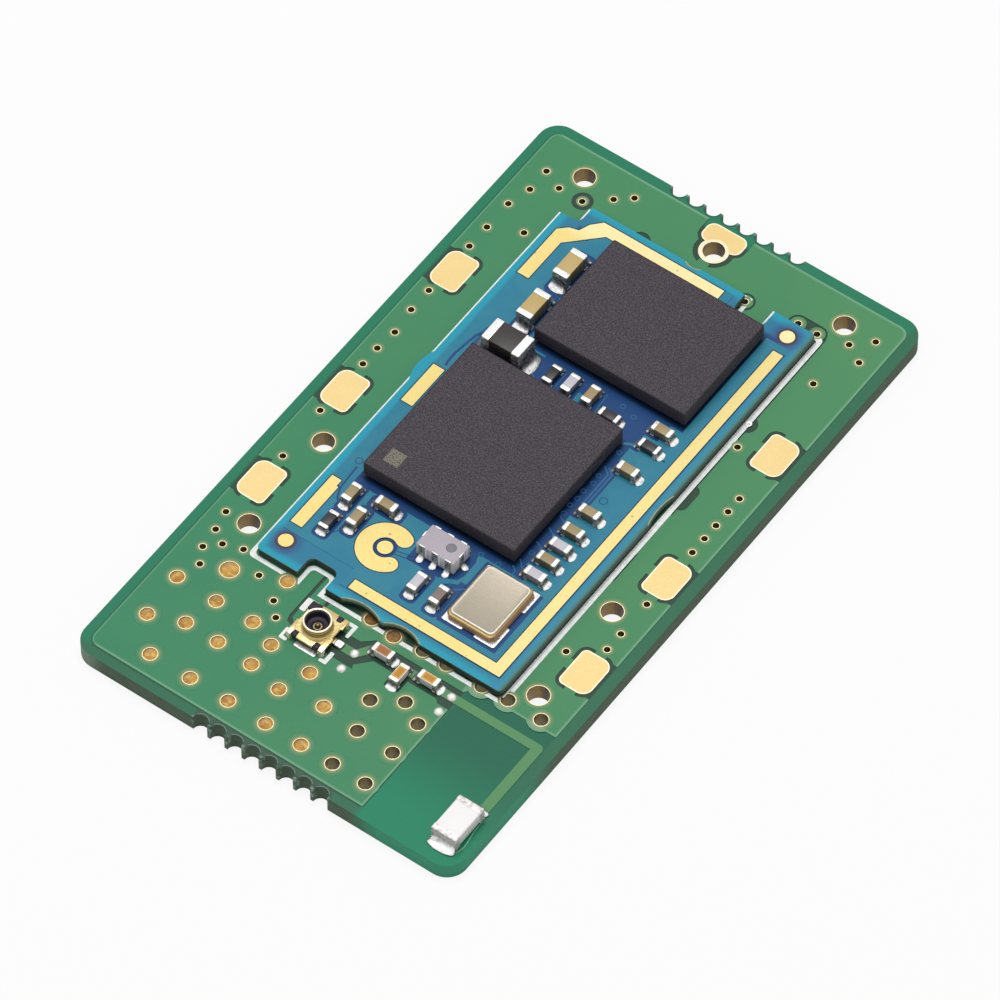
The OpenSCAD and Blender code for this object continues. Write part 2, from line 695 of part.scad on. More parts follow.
tab_up = 6.3;
module tab_stub() {
    r = chord_r(tab_l, tab_h);
    translate([module_x0 - tab_h + r, radio_y0 + tab_up]) intersection() {
        circle(r);
        translate([-r, 0]) square([4 * tab_h, 2 * tab_l], center = true);
    }
}

// A hollow in an edge along the X axis, with the board above it
module hollow(size) translate([0, size[1] - chord_r(size[0], size[1])]) circle(chord_r(size[0], size[1]));

// Length and depth of each hollow; where it lies from the middle, or up from the radio chip's lower edge
low_hollows = [[2, 0.28], [1.85, 0.3]];
low_hollows_x = [-0.9, 1.25];
top_hollow = [0.75, 0.12];
top_hollow_x = -0.07;
right_hollow = [1.9, 0.13];
right_hollow_up = 6;
module edge_hollows() {
    for (i = [0, 1]) translate([low_hollows_x[i], module_y0]) hollow(low_hollows[i]);
    translate([top_hollow_x, module_y1]) rotate(180) hollow(top_hollow);
    translate([module_x1, radio_y0 + right_hollow_up]) rotate(90) hollow(right_hollow);
}

module module_board() color("dodgerblue") layer(module_z, module_t) difference() {
    module_outline(0);
    edge_hollows();
}

// Shield lands: a bent strip at the upper left, two short ones below it and a corner at the lower right
// Bends of the strip, from the corner where its outer edges would meet
strip_bends = [[0, -1.5], [0.4, -1.12], [0.85, -1], [1.05, -0.48], [1.5, 0]];
strip_inner_bend = 1.42;
strip_low_up = 2.67;
strip_to_notch = 0.82;
// Ends of the upper short land, from the radio chip's lower edge
mid_land_ends = [4.24, 6.63];
// Ends of the lower short land and where it narrows, from the module's lower edge
low_land_ends = [1.97, 4.97];
low_land_step_up = 4.6;
low_land_step = 0.1;
right_land_down = 1.78;
bottom_land_ahead = 0.03;
module shield_land_outlines(grow) {
    x0 = land_x0 - grow;
    x1 = land_x0 + wide_land + grow;
    y0 = land_y1 - wide_land - grow;
    y1 = land_y1 + grow;
    strip_low = memory_y0 + strip_low_up - grow;
    strip_end = top_notch_x - top_notch_w / 2 - strip_to_notch + grow;
    polygon(concat(
        [[x0, strip_low]], [for (p = strip_bends) [x0 + p[0], y1 + p[1]]], [[strip_end, y1], [strip_end, y0],
        [x1 + strip_inner_bend, y0], [x1, y0 - strip_inner_bend], [x1, strip_low]]));
    span(x0, x1, radio_y0 + mid_land_ends[0] - grow, radio_y0 + mid_land_ends[1] + grow);
    span(x0, x1, module_y0 + low_land_ends[0] - grow, module_y0 + low_land_step_up + grow);
    span(x0, x1 - low_land_step, module_y0 + low_land_step_up, module_y0 + low_land_ends[1] + grow);
    span(land_x1 - slim_land - grow, land_x1 + grow, land_y0 - grow, module_y1 - right_land_down + grow);
    span(probe_x - bottom_land_ahead - grow, land_x1 + grow, land_y0 - grow, land_y0 + slim_land + grow);
}

module shield_lands() color("khaki") layer(module_face, module_copper_t) shield_land_outlines(0);

// A broken ring round a dot, where a probe takes the radio signal
probe_ring_r = 1.3;
probe_gap_r = 0.53;
probe_dot_r = 0.35;
probe_arm_low = -43;
probe_arm_high = 59;
module probe_ring(grow) {
    mid_r = (probe_ring_r + probe_gap_r) / 2;
    end_r = (probe_ring_r - probe_gap_r) / 2;
    far = 3 * probe_ring_r;
    difference() {
        circle(probe_ring_r + grow);
        circle(probe_gap_r - grow);
        polygon([[0, 0], far * [cos(probe_arm_low), sin(probe_arm_low)],
                 far * [cos(probe_arm_high), sin(probe_arm_high)]]);
    }
    for (a = [probe_arm_low, probe_arm_high]) rotate(a) translate([mid_r, 0]) circle(end_r + grow);
}

module probe_land() color("khaki") layer(module_face, module_copper_t) translate([probe_x, probe_y]) {
    probe_ring(0);
    circle(probe_dot_r);
}

fiducial_r = 0.34;
// In from the lower left and from the upper right corner
fiducial_in = [[0.83, 1.03], [0.97, 0.82]];
fiducial_spots = [[module_x0, module_y0] + fiducial_in[0], [module_x1, module_y1] - fiducial_in[1]];
module fiducials() color("khaki") layer(module_face, module_copper_t)
    for (p = fiducial_spots) at(p) circle(fiducial_r);

// The clearing in the copper round a chip and its solder
clearing = 0.15;
clearing_r = 0.25;
module chip_clearing(c) at(c[2]) rotate(c[3])
    round_rect(c[1][0] + 2 * (c[1][4] + clearing), c[1][1] + 2 * clearing, clearing_r);

// Room without copper round a larger piece: left, right, below, above
radio_room = [0.15, 0.4, 0.45, 0.3];
memory_room = [0.15, 0.05, 0.3, 0.2];
crystal_room = [0.25, 0.3, 0.3, 0.2];
filter_room = [0.2, 0.45, 0.45, 0.4];
module room(x, y, w, l, gaps) span(x - gaps[0], x + w + gaps[1], y - gaps[2], y + l + gaps[3]);

// Room without copper at the fiducials, the upper notch, the cut corner and between the chips
copper_past_land = 0.05;
low_fiducial_room = [0.4, 0.42];
high_fiducial_room = [1.28, 1];
notch_room = [0.35, 0.4, 0.25];
corner_room = 1.5;
chip_row_room = [2.6, 0.5];

module module_copper() color("steelblue") layer(module_face, module_copper_t) difference() {
    span(land_x0 - fit, land_x1 + copper_past_land, land_y0 - copper_past_land, land_y1 + copper_past_land);
    shield_land_outlines(fit);
    translate([probe_x, probe_y]) {
        probe_ring(fit);
        circle(probe_gap_r + fit);
    }
    span(land_x0 - past, probe_x - low_fiducial_room[0], land_y0 - past, land_y0 + slim_land + low_fiducial_room[1]);
    span(land_x1 - high_fiducial_room[0], land_x1 + past, land_y1 - high_fiducial_room[1], land_y1 + past);
    span(top_notch_x - top_notch_w / 2 - notch_room[0], top_notch_x + top_notch_w / 2 + notch_room[1],
         module_y1 - notch_d - notch_room[2], module_y1);
    span(land_x0 - past, land_x0 + corner_room, land_y1 - corner_room, land_y1 + past);
    room(radio_x0, radio_y0, radio_w, radio_w, radio_room);
    room(memory_x0, memory_y0, memory_w, memory_l, memory_room);
    span(radio_x0 + chip_row_room[0], radio_x1 + chip_row_room[1], radio_y1, memory_y0);
    room(crystal_x0, crystal_y0, crystal_w, crystal_l, crystal_room);
    room(filter_x0, filter_y0, filter_l, filter_w, filter_room);
    for (c = module_chips) chip_clearing(c);
}

// Flat solder joints between the boards, in a row inside each long edge
joint_size = [0.7, 0.8];
joint_pitch = 1.27;
joint_inset = 0.9;
module module_joints() color("silver") {
    run = module_l - 2 * (notch_d + joint_size[1]);
    count = floor(run / joint_pitch);
    for (side = [-1, 1], i = [0 : count])
        translate([side * (module_w / 2 - joint_inset), module_y0 + (module_l - count * joint_pitch) / 2
                   + i * joint_pitch, carrier_top + joint_t / 2])
            cube([joint_size[0], joint_size[1], joint_t], center = true);
}

// The two large chips on their solder balls

ball_r = 0.15;
module ball() intersection() {
    sphere(r = sqrt(ball_r * ball_r + ball_h * ball_h / 16), $fn = 24);
    cube([1, 1, ball_h], center = true);
}

// The slack keeps a width of a whole number of pitches from rounding down
pitch_slack = 0.01;
function balls_across(w, pitch) = floor(w / pitch + pitch_slack) - 1;

// Balls in a grid; with rings set, only that many rows from the outside in
module ball_grid(columns, rows, pitch, rings) for (i = [0 : columns - 1], j = [0 : rows - 1])
    if (min(i, j, columns - 1 - i, rows - 1 - j) < rings)
        translate([(i - (columns - 1) / 2) * pitch, (j - (rows - 1) / 2) * pitch, module_top + ball_h / 2]) ball();

module radio_chip() color("dimgray") translate([radio_x0, radio_y0, module_top + ball_h])
    cube([radio_w, radio_w, radio_t]);

module radio_chip_balls() color("silver") at([radio_x0 + radio_w / 2, radio_y0 + radio_w / 2])
    ball_grid(balls_across(radio_w, radio_ball_pitch), balls_across(radio_w, radio_ball_pitch), radio_ball_pitch, 2);

module memory_chip() color("dimgray") translate([memory_x0, memory_y0, module_top + ball_h])
    cube([memory_w, memory_l, memory_t]);

module memory_chip_balls() color("silver") at([memory_x0 + memory_w / 2, memory_y0 + memory_l / 2])
    ball_grid(balls_across(memory_w, memory_ball_pitch) - 1, balls_across(memory_l, memory_ball_pitch),
              memory_ball_pitch, 9);

// Crystal: ceramic base with hollow corners, gold ring, stepped lid

crystal_corner_r = 0.18;
crystal_ring_h = 0.1;
crystal_ring_inset = 0.03;
crystal_ring_w = 0.3;
crystal_rim_h = 0.05;
crystal_lid_h = 0.09;
crystal_lid_inset = 0.09;
crystal_rim_w = 0.1;
crystal_round_r = 0.25;
module at_crystal(z) translate([crystal_x0 + crystal_w / 2, crystal_y0 + crystal_l / 2, module_top + solder_t + z])
    children();

module crystal_base() color("saddlebrown") at_crystal(0) linear_extrude(crystal_base_h) difference() {
    square([crystal_w, crystal_l], center = true);
    for (x = [-1, 1], y = [-1, 1]) translate([x * crystal_w / 2, y * crystal_l / 2]) circle(crystal_corner_r);
}

module crystal_plate(inset, r) round_rect(crystal_w - 2 * inset, crystal_l - 2 * inset, r);

module crystal_seal_ring() color("gold") at_crystal(crystal_base_h) linear_extrude(crystal_ring_h) difference() {
    crystal_plate(crystal_ring_inset, crystal_round_r);
    crystal_plate(crystal_ring_inset + crystal_ring_w, crystal_round_r / 2);
}

module crystal_lid() color("tan") at_crystal(crystal_base_h + crystal_ring_h) {
    linear_extrude(crystal_rim_h) crystal_plate(crystal_lid_inset, crystal_round_r);
    linear_extrude(crystal_lid_h) crystal_plate(crystal_lid_inset + crystal_rim_w, crystal_round_r - crystal_rim_w);
}

// Filter: a ceramic block with three terminals on each long side and one at each end

filter_terminal_w = 0.3;
filter_terminal_pitch = 0.68;
filter_wrap = 0.13;
module at_filter() translate([filter_x0 + filter_l / 2, filter_y0 + filter_w / 2, module_top + solder_t])
    children();

module filter_body() color("lavender") at_filter() translate([0, 0, filter_h / 2])
    cube([filter_l - 2 * terminal_t, filter_w - 2 * terminal_t, filter_h - 2 * terminal_t], center = true);

// A flat strip that folds over the block's top and bottom edge, on the side of +X
module wrapped_terminal() difference() {
    translate([-filter_wrap, -filter_terminal_w / 2, 0]) cube([filter_wrap, filter_terminal_w, filter_h]);
    translate([-past - terminal_t, -filter_terminal_w, terminal_t])
        cube([past, 2 * filter_terminal_w, filter_h - 2 * terminal_t]);
}

module on_filter_terminals() {
    for (turn = [90, -90], i = [-1:1]) translate([i * filter_terminal_pitch, sign(turn) * filter_w / 2, 0])
        rotate(turn) children();
    for (turn = [0, 180]) translate([cos(turn) * filter_l / 2, 0, 0]) rotate(turn) children();
}

module filter_terminals() color("silver") at_filter() on_filter_terminals() wrapped_terminal();

// Small chips: a ceramic brick with a metal cap on each end

module chip_at(c, z) translate([c[2][0], c[2][1], z]) rotate(c[3]) children();

module chip_body(kind) translate([0, 0, solder_t + kind[2] / 2])
    cube([kind[0] - 2 * terminal_t, kind[1] - 2 * terminal_t, kind[2] - 2 * terminal_t], center = true);

module end_caps(l, w, h, cap_l) for (turn = [0, 180]) rotate(turn) translate([l / 2 - cap_l, 0, h / 2])
    difference() {
        translate([0, -w / 2, -h / 2]) cube([cap_l, w, h]);
        translate([-past, terminal_t - w / 2, terminal_t - h / 2])
            cube([past + cap_l - terminal_t, w - 2 * terminal_t, h - 2 * terminal_t]);
    }

module chip_terminals(kind) translate([0, 0, solder_t]) end_caps(kind[0], kind[1], kind[2], kind[3]);

// A solder joint at the end face x = 0: a flat bed under the terminal and a hollow fillet in front of it
fillet_toe = 0.02;
solder_spread = 0.04;
module solder_joint(w, under, size) {
    bed_l = under + size;
    intersection() {
        translate([0, w / 2, 0]) rotate([90, 0, 0]) linear_extrude(w) {
            span(-under, 0, 0, solder_t);
            difference() {
                span(0, size, 0, solder_t + size);
                translate([size + fillet_toe, size + solder_t + fillet_toe]) circle(size);
            }
        }
        translate([size - bed_l / 2, 0, 0]) linear_extrude(solder_t + size) round_rect(bed_l, w, w / 4);
    }
}

module chip_solder(kind) for (turn = [0, 180]) rotate(turn) translate([kind[0] / 2, 0, 0])
    solder_joint(kind[1] + 2 * solder_spread, kind[3], kind[4]);

module module_chip_terminals() color("silver")
    for (c = module_chips) chip_at(c, module_top) chip_terminals(c[1]);

module carrier_chip_terminals() color("silver")
    for (c = carrier_chips) chip_at(c, carrier_top) chip_terminals(c[1]);

// Crystal and filter are soldered at their corners and terminals
crystal_pad = [1.1, 1.25];
crystal_pad_out = 0.14;
crystal_pad_r = 0.1;
module crystal_solder() translate([crystal_x0 + crystal_w / 2, crystal_y0 + crystal_l / 2, module_top])
    for (x = [-1, 1], y = [-1, 1])
        translate([x * (crystal_w / 2 + crystal_pad_out - crystal_pad[0] / 2),
                   y * (crystal_l / 2 + crystal_pad_out - crystal_pad[1] / 2), 0])
            linear_extrude(solder_t) round_rect(crystal_pad[0], crystal_pad[1], crystal_pad_r);

filter_fillet = 0.32;
module filter_solder() translate([filter_x0 + filter_l / 2, filter_y0 + filter_w / 2, module_top])
    on_filter_terminals() solder_joint(filter_terminal_w + solder_spread, filter_wrap, filter_fillet);

module module_solder() color("gainsboro") {
    for (c = module_chips) chip_at(c, module_top) chip_solder(c[1]);
    crystal_solder();
    filter_solder();
}

antenna_terminal_l = 0.32;
antenna_fillet = 0.42;
// Solder below the connector's lower side and under its tail
side_pool = [1.14, 0.32];
side_pool_at = [0.1, 0.02];
tail_pool = [0.42, 0.42];
tail_pool_in = 0.15;
pool_r = 0.1;
module carrier_solder() color("gainsboro") {
    for (c = carrier_chips) chip_at(c, carrier_top) chip_solder(c[1]);
    for (turn = [90, -90]) translate([antenna_x, antenna_y + sign(turn) * antenna_l / 2, carrier_top])
        rotate(turn) solder_joint(antenna_w, antenna_terminal_l, antenna_fillet);
    at_connector(-solder_t) linear_extrude(solder_t) {
        for (x = [-1, 1], y = [-1, 1]) translate([x * leg_x, y * leg_y])
            square(leg_w, center = true);
        translate([side_pool_at[0], -connector_l / 2 - side_pool_at[1]])
            round_rect(side_pool[0], side_pool[1], pool_r);
        translate([tail_x0 + tail_l - tail_pool_in, tail_y]) round_rect(tail_pool[0], tail_pool[1], pool_r);
    }
}

// Aerial chip

module antenna_chip() color("whitesmoke") translate([antenna_x, antenna_y, carrier_top + solder_t + antenna_h / 2])
    cube([antenna_w - 2 * terminal_t, antenna_l - 2 * terminal_t, antenna_h - 2 * terminal_t], center = true);

module antenna_chip_terminals() color("gainsboro") translate([antenna_x, antenna_y, carrier_top + solder_t])
    rotate(90) end_caps(antenna_l, antenna_w, antenna_h, antenna_terminal_l);

// Coaxial connector: a stamped base on legs with a turned barrel, an insulator and a spring contact

leg_w = 0.26;
leg_x = connector_w / 2 - leg_w / 2;
leg_y = connector_l / 2 - leg_w / 2;
base_z = 0.26;
base_t = 0.1;
base_r = 0.1;
// Slots in the long sides of the base, and the hollow in its other sides
base_slot = [0.24, 0.34];
base_slot_x = [-0.57, 0.57];
base_hollow = [0.24, 0.6];
base_hollow_y = 0.15;
foot_h = 0.12;
rim_h = 0.14;
barrel_wall = 0.11;
barrel_groove = 0.04;
neck_r = barrel_r - barrel_wall - fit;
neck_top = 0.46;
tail_x0 = 0.28;
tail_out = 0.34;
tail_l = connector_w / 2 + tail_out - tail_x0;
tail_w = 0.3;
tail_t = 0.08;
tail_y = -0.02;
module at_connector(z) translate([connector_x, connector_y, carrier_top + solder_t + z]) children();

module connector_shell() color("gold") at_connector(0) {
    for (x = [-1, 1], y = [-1, 1]) translate([x * leg_x - leg_w / 2, y * leg_y - leg_w / 2, 0])
        cube([leg_w, leg_w, base_z]);
    translate([0, 0, base_z]) linear_extrude(base_t) difference() {
        round_rect(connector_w, connector_l, base_r);
        circle(barrel_r - barrel_wall);
        for (x = base_slot_x, y = [-1, 1]) translate([x, y * connector_l / 2])
            square([base_slot[0], 2 * base_slot[1]], center = true);
        for (x = [-1, 1]) translate([x * connector_w / 2, base_hollow_y])
            square(base_hollow, center = true);
    }
    barrel_z = base_z + base_t;
    barrel_top = connector_h - solder_t;
    rotate_extrude() difference() {
        span(barrel_r - barrel_wall, barrel_r, barrel_z, barrel_top);
        span(barrel_r - barrel_groove, barrel_r + past, barrel_z + foot_h, barrel_top - rim_h);
    }
}

insulator_in = 0.12;
// The insulator stands up through the slots of the base
nub_over = 0.03;
nub_h = base_t + nub_over;
nub_l = base_slot[1] - insulator_in - fit;
nub_y = connector_l / 2 - insulator_in - nub_l / 2;
post_r = 0.16;
post_top = 0.6;
module connector_insulator() color("black") at_connector(0) difference() {
    union() {
        translate([-connector_w / 2 + leg_w, -connector_l / 2 + insulator_in, 0])
            cube([connector_w - 2 * leg_w, connector_l - 2 * insulator_in, base_z]);
        cylinder(h = neck_top, r = neck_r);
        for (x = base_slot_x, y = [-1, 1]) translate([x, y * nub_y, base_z + nub_h / 2])
            cube([base_slot[0] - 2 * fit, nub_l, nub_h], center = true);
    }
    translate([0, 0, tail_t]) cylinder(h = past, r = post_r + fit);
    translate([0, tail_y - tail_w / 2 - fit, -past]) cube([past + connector_w, tail_w + 2 * fit, past + tail_t]);
    translate([-post_r, tail_y - tail_w / 2 - fit, -past]) cube([past, tail_w + 2 * fit, past + tail_t]);
}

module connector_contact() color("gold") at_connector(0) {
    translate([-post_r + fit, tail_y - tail_w / 2, 0]) cube([tail_x0 + tail_l + post_r - fit, tail_w, tail_t]);
    translate([0, 0, tail_t]) cylinder(h = post_top - tail_t - post_r, r = post_r);
    translate([0, 0, post_top - post_r]) intersection() {
        sphere(r = post_r);
        cylinder(h = post_r, r = post_r + fit);
    }
}

// Colours of the small chips by the first word of their names
function chip_colour(name) =
    name[0] == "s" ? "burlywood" : name[0] == "p" ? "black" : name[0] == "t" ? "lavender"
    : name[0] == "l" ? "rosybrown" : name == "bulk_capacitor" ? "#4a3a3a" : name[0] == "a" ? "orange" : "tan";

carrier_board();
ground_copper();
antenna_line();
test_pads();
pin_hole_plating();
ground_via_plating();
ground_via_plugs();
signal_via_plating();
white_legend();
spare_pad_solder();
module_board();
module_copper();
shield_lands();
probe_land();
fiducials();
module_joints();
radio_chip();
radio_chip_balls();
memory_chip();
memory_chip_balls();
crystal_base();
crystal_seal_ring();
crystal_lid();
filter_body();
filter_terminals();
connector_shell();
connector_insulator();
connector_contact();
antenna_chip();
antenna_chip_terminals();
module_chip_terminals();
carrier_chip_terminals();
module_solder();
carrier_solder();
for (c = module_chips) color(chip_colour(c[0])) chip_at(c, module_top) chip_body(c[1]);
for (c = carrier_chips) color(chip_colour(c[0])) chip_at(c, carrier_top) chip_body(c[1]);
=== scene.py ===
# %% [markdown]
# A short-range radio module, soldered on a carrier board
#
# The object is a blue circuit board of 13 by 23 mm that lies on a green one of 20 by 35 mm.
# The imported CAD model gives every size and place, so this lesson loads it first and never moves it.
# Boards, copper and holes keep their CAD solids. Chips, solder and the connector get finer meshes.

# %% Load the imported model
import math
import random
from collections import namedtuple
from types import SimpleNamespace

import bmesh
import bpy
from mathutils import Matrix, Vector


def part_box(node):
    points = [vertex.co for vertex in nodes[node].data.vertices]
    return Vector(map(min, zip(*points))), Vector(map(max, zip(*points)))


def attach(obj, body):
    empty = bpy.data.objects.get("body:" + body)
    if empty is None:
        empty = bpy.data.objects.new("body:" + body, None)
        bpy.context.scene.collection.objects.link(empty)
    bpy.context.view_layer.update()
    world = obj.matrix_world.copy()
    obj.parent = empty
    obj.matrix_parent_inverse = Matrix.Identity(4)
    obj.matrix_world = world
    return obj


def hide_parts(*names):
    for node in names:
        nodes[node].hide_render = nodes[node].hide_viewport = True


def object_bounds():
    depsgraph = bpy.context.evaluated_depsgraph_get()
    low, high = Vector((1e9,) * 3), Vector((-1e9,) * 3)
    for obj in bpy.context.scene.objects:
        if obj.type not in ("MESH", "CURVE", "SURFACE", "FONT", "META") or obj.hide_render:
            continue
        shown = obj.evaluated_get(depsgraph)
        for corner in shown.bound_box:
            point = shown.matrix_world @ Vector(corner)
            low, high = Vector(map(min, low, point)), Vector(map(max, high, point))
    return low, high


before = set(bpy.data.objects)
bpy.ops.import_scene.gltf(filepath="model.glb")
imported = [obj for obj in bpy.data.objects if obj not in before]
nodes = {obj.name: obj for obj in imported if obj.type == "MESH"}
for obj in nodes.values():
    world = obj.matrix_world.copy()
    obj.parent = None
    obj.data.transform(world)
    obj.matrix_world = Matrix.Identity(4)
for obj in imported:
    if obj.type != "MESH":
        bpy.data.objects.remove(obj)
cad_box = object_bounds()
MM = 0.001
print(len(nodes), "nodes in a box of", [[round(c / MM, 3) for c in corner] for corner in cad_box], "mm")

# %% [markdown]
# The camera
#
# A product photograph of a small board is taken from far away with a long lens, so its edges stay almost
# parallel. The angles, the distance and the lens were fitted to the corners of both boards.
# A Track To constraint could aim the camera. Writing its three axes as a matrix keeps it exactly level.

# %% Place the camera
CAMERA_TURN, CAMERA_LIFT = math.radians(35.93), math.radians(53.95)
CAMERA_FAR = 401.97 * MM
OFF_CENTRE = 0.183 * MM, 0.133 * MM
LENS, SENSOR = 336.92, 36.0

back = Vector((math.sin(CAMERA_TURN) * math.cos(CAMERA_LIFT),
               -math.cos(CAMERA_TURN) * math.cos(CAMERA_LIFT), math.sin(CAMERA_LIFT)))
right = Vector((math.cos(CAMERA_TURN), math.sin(CAMERA_TURN), 0))
over = back.cross(right)
camera = bpy.data.objects.new("board_camera", bpy.data.cameras.new("board_camera"))
camera.data.lens, camera.data.sensor_width = LENS, SENSOR
camera.data.clip_start, camera.data.clip_end = 0.01, 10
camera.matrix_world = (Matrix.Translation(back * CAMERA_FAR - right * OFF_CENTRE[0] - over * OFF_CENTRE[1])
                       @ Matrix((right, over, back)).transposed().to_4x4())
bpy.context.collection.objects.link(camera)
bpy.context.scene.camera = camera
bpy.context.scene.view_settings.view_transform = "Standard"
print("camera at", [round(c / MM, 1) for c in camera.matrix_world.translation], "mm")

# %% [markdown]
# Shader sums in plain Python
#
# A finish is a small sum of patterns: some cloud, some dust, a mask for one side of a board.
# Drawn as nodes, such a sum fills a screen. Wrapped in a class with the usual operators, it stays one line.
# Every operator adds one Math node, and every other kind of node comes from the method called node.

# %% A wire that can be added and multiplied
class Wire:
    """One socket of a node tree, for use in Python expressions."""

    def __init__(self, tree, socket=None):
        self.tree, self.socket = tree, socket

    def feed(self, socket, value):
        """Links a wire into a socket, or sets a plain value there."""
        if isinstance(value, Wire):
            self.tree.links.new(value.socket, socket)
        else:
            socket.default_value = value

    def node(self, kind, settings=None, inputs=None, output=0):
        """Adds a node: its settings first, then the values or links of its sockets."""
        made = self.tree.nodes.new(kind)
        for name, value in (settings or {}).items():
            setattr(made, name, value)
        for key, value in (inputs or {}).items():
            self.feed(made.inputs[key], value)
        return Wire(self.tree, made.outputs[output])

    def sum(self, operation, *terms):
        return self.node("ShaderNodeMath", {"operation": operation}, dict(enumerate(terms)))

    def __add__(self, other):
        return self.sum("ADD", self, other)

    def __radd__(self, other):
        return self.sum("ADD", other, self)

    def __sub__(self, other):
        return self.sum("SUBTRACT", self, other)

    def __rsub__(self, other):
        return self.sum("SUBTRACT", other, self)

    def __mul__(self, other):
        return self.sum("MULTIPLY", self, other)

    def __rmul__(self, other):
        return self.sum("MULTIPLY", other, self)

    def __abs__(self):
        return self.sum("ABSOLUTE", self)

    def least(self, other):
        return self.sum("MINIMUM", self, other)

    def most(self, other):
        return self.sum("MAXIMUM", self, other)


print("wires ready")

# %% [markdown]
# The studio
#
# The board was photographed on white, under one broad lamp above it, with pale walls all round.
# A plain floor of white paper would come out grey, because it shares the light with the board.
# So floor and sky look white to the camera and in reflections, through Light Path, and stay plain
# for other light. A small share of the floor is left as real paper, so that the board keeps its shadow.

# %% Lay the floor and light the sky
PAPER_SHOWN = 0.88
SKY_SHARE = 0.42
FLOOR_HALF, FLOOR_DROP = 0.8, 0.01 * MM


def seen_or_mirrored(tree):
    """1 for rays that come from the camera, a mirror or glass, else 0."""
    camera_ray, mirror_ray, glass_ray = [
        Wire(tree).node("ShaderNodeLightPath", output=name)
        for name in ("Is Camera Ray", "Is Glossy Ray", "Is Transmission Ray")]
    return camera_ray.most(mirror_ray).most(glass_ray)


paper = bpy.data.materials.new("white_paper")
paper.use_nodes = True
tree = paper.node_tree
sheet = Wire(tree).node("ShaderNodeBsdfDiffuse", {}, {"Color": (0.9, 0.9, 0.9, 1)})
shine = Wire(tree).node("ShaderNodeEmission", {}, {"Color": (1, 1, 1, 1), "Strength": 1.0})
shown = seen_or_mirrored(tree) * PAPER_SHOWN
paper_mix = sheet.node("ShaderNodeMixShader", {}, {0: shown, 1: sheet, 2: shine})
sheet.feed(tree.nodes["Material Output"].inputs["Surface"], paper_mix)

floor_mesh = bpy.data.meshes.new("floor")
floor_mesh.from_pydata([(x * FLOOR_HALF, y * FLOOR_HALF, cad_box[0].z - FLOOR_DROP)
                        for x, y in ((-1, -1), (1, -1), (1, 1), (-1, 1))], [], [(0, 1, 2, 3)])
floor_mesh.materials.append(paper)
floor = bpy.data.objects.new("floor", floor_mesh)
bpy.context.collection.objects.link(floor)

sky = bpy.data.worlds.new("pale_walls")
sky.use_nodes = True
bpy.context.scene.world = sky
tree = sky.node_tree
tree.nodes["Background"].inputs["Color"].default_value = (1, 1, 1, 1)
sky_light = SKY_SHARE + seen_or_mirrored(tree) * (1 - SKY_SHARE)
sky_light.feed(tree.nodes["Background"].inputs["Strength"], sky_light)
print("floor and sky ready, sky share", SKY_SHARE)

# %% [markdown]
# The lamp
#
# The chips' tops are bright, their near sides are almost black, and the shade below them is soft.
# That is one softbox over the board. It hangs a little behind the middle, so the sides towards the camera
# stay dark, and away from the direction in which a flat top would mirror it into the lens.

# %% Hang the softbox
LAMP_TO, LAMP_FAR = Vector((-0.12, 0.12, 0.98)).normalized(), 0.30
LAMP_WIDE, LAMP_WATTS = 0.17, 0.52

softbox = bpy.data.objects.new("softbox", bpy.data.lights.new("softbox", "AREA"))
softbox.data.size, softbox.data.energy = LAMP_WIDE, LAMP_WATTS
softbox.location = LAMP_TO * LAMP_FAR
softbox.rotation_mode = "QUATERNION"
softbox.rotation_quaternion = LAMP_TO.to_track_quat("Z", "Y")
bpy.context.collection.objects.link(softbox)
print("softbox at", [round(c / MM) for c in softbox.location], "mm")

# %% [markdown]
# Where a point lies on the board
#
# A finish needs to know where a point lies on the board, in millimetres, and which way the surface faces.
# UV maps could tell it, but every mesh would need its own. The CAD solids and the new meshes all keep
# their place in their vertices, so Object coordinates give both, and a pattern runs on from piece to piece.

# %% Start a finish
def start_finish(name):
    """A new material with its shader, and wires for the place in mm and for how far the surface faces up."""
    material = bpy.data.materials.new(name)
    material.use_nodes = True
    first = Wire(material.node_tree)
    spot = first.node("ShaderNodeTexCoord", output="Object")
    place = first.node("ShaderNodeVectorMath", {"operation": "SCALE"}, {0: spot, "Scale": 1 / MM})
    facing = first.node("ShaderNodeTexCoord", output="Normal")
    x, y, z = [first.node("ShaderNodeSeparateXYZ", {}, {0: place}, axis) for axis in range(3)]
    up = first.node("ShaderNodeSeparateXYZ", {}, {0: facing}, 2)
    shader = material.node_tree.nodes["Principled BSDF"]
    return SimpleNamespace(material=material, shader=shader, place=place, facing=facing, x=x, y=y, z=z, up=up)


print("finishes can be started")

# %% [markdown]
# Patterns that every finish shares
#
# Clouds give the mottling of lacquer, flecks give dust and pits, and a soft band gives a stripe between
# two places. Pictures of surfaces could do the same, but a noise has no seams and is sharp at any distance.
# Every pattern is a number, mostly from 0 to 1, so patterns can be added, multiplied and used as masks.

# %% Draw patterns
def cloud(place, per_mm, detail=2.0):
    """Soft noise; per_mm is how fine it is."""
    return place.node("ShaderNodeTexNoise", {}, {"Vector": place, "Scale": per_mm, "Detail": detail})


def rise(value, low, high):
    """A soft step from 0 at low to 1 at high; it falls where low is the larger."""
    return value.node("ShaderNodeMapRange", {"interpolation_type": "SMOOTHSTEP"}, {0: value, 1: low, 2: high})


def flecks(place, per_mm, size):
    """1 inside small round spots that lie about 1 / per_mm apart, else 0."""
    spots = place.node("ShaderNodeTexVoronoi", {}, {"Vector": place, "Scale": per_mm})
    return rise(spots, size, size * 0.5)


def band(value, low, high, soft):
    """1 between two places, with soft ends, else 0."""
    return rise(value, low - soft, low + soft) * rise(value, high + soft, high - soft)


print("patterns ready")

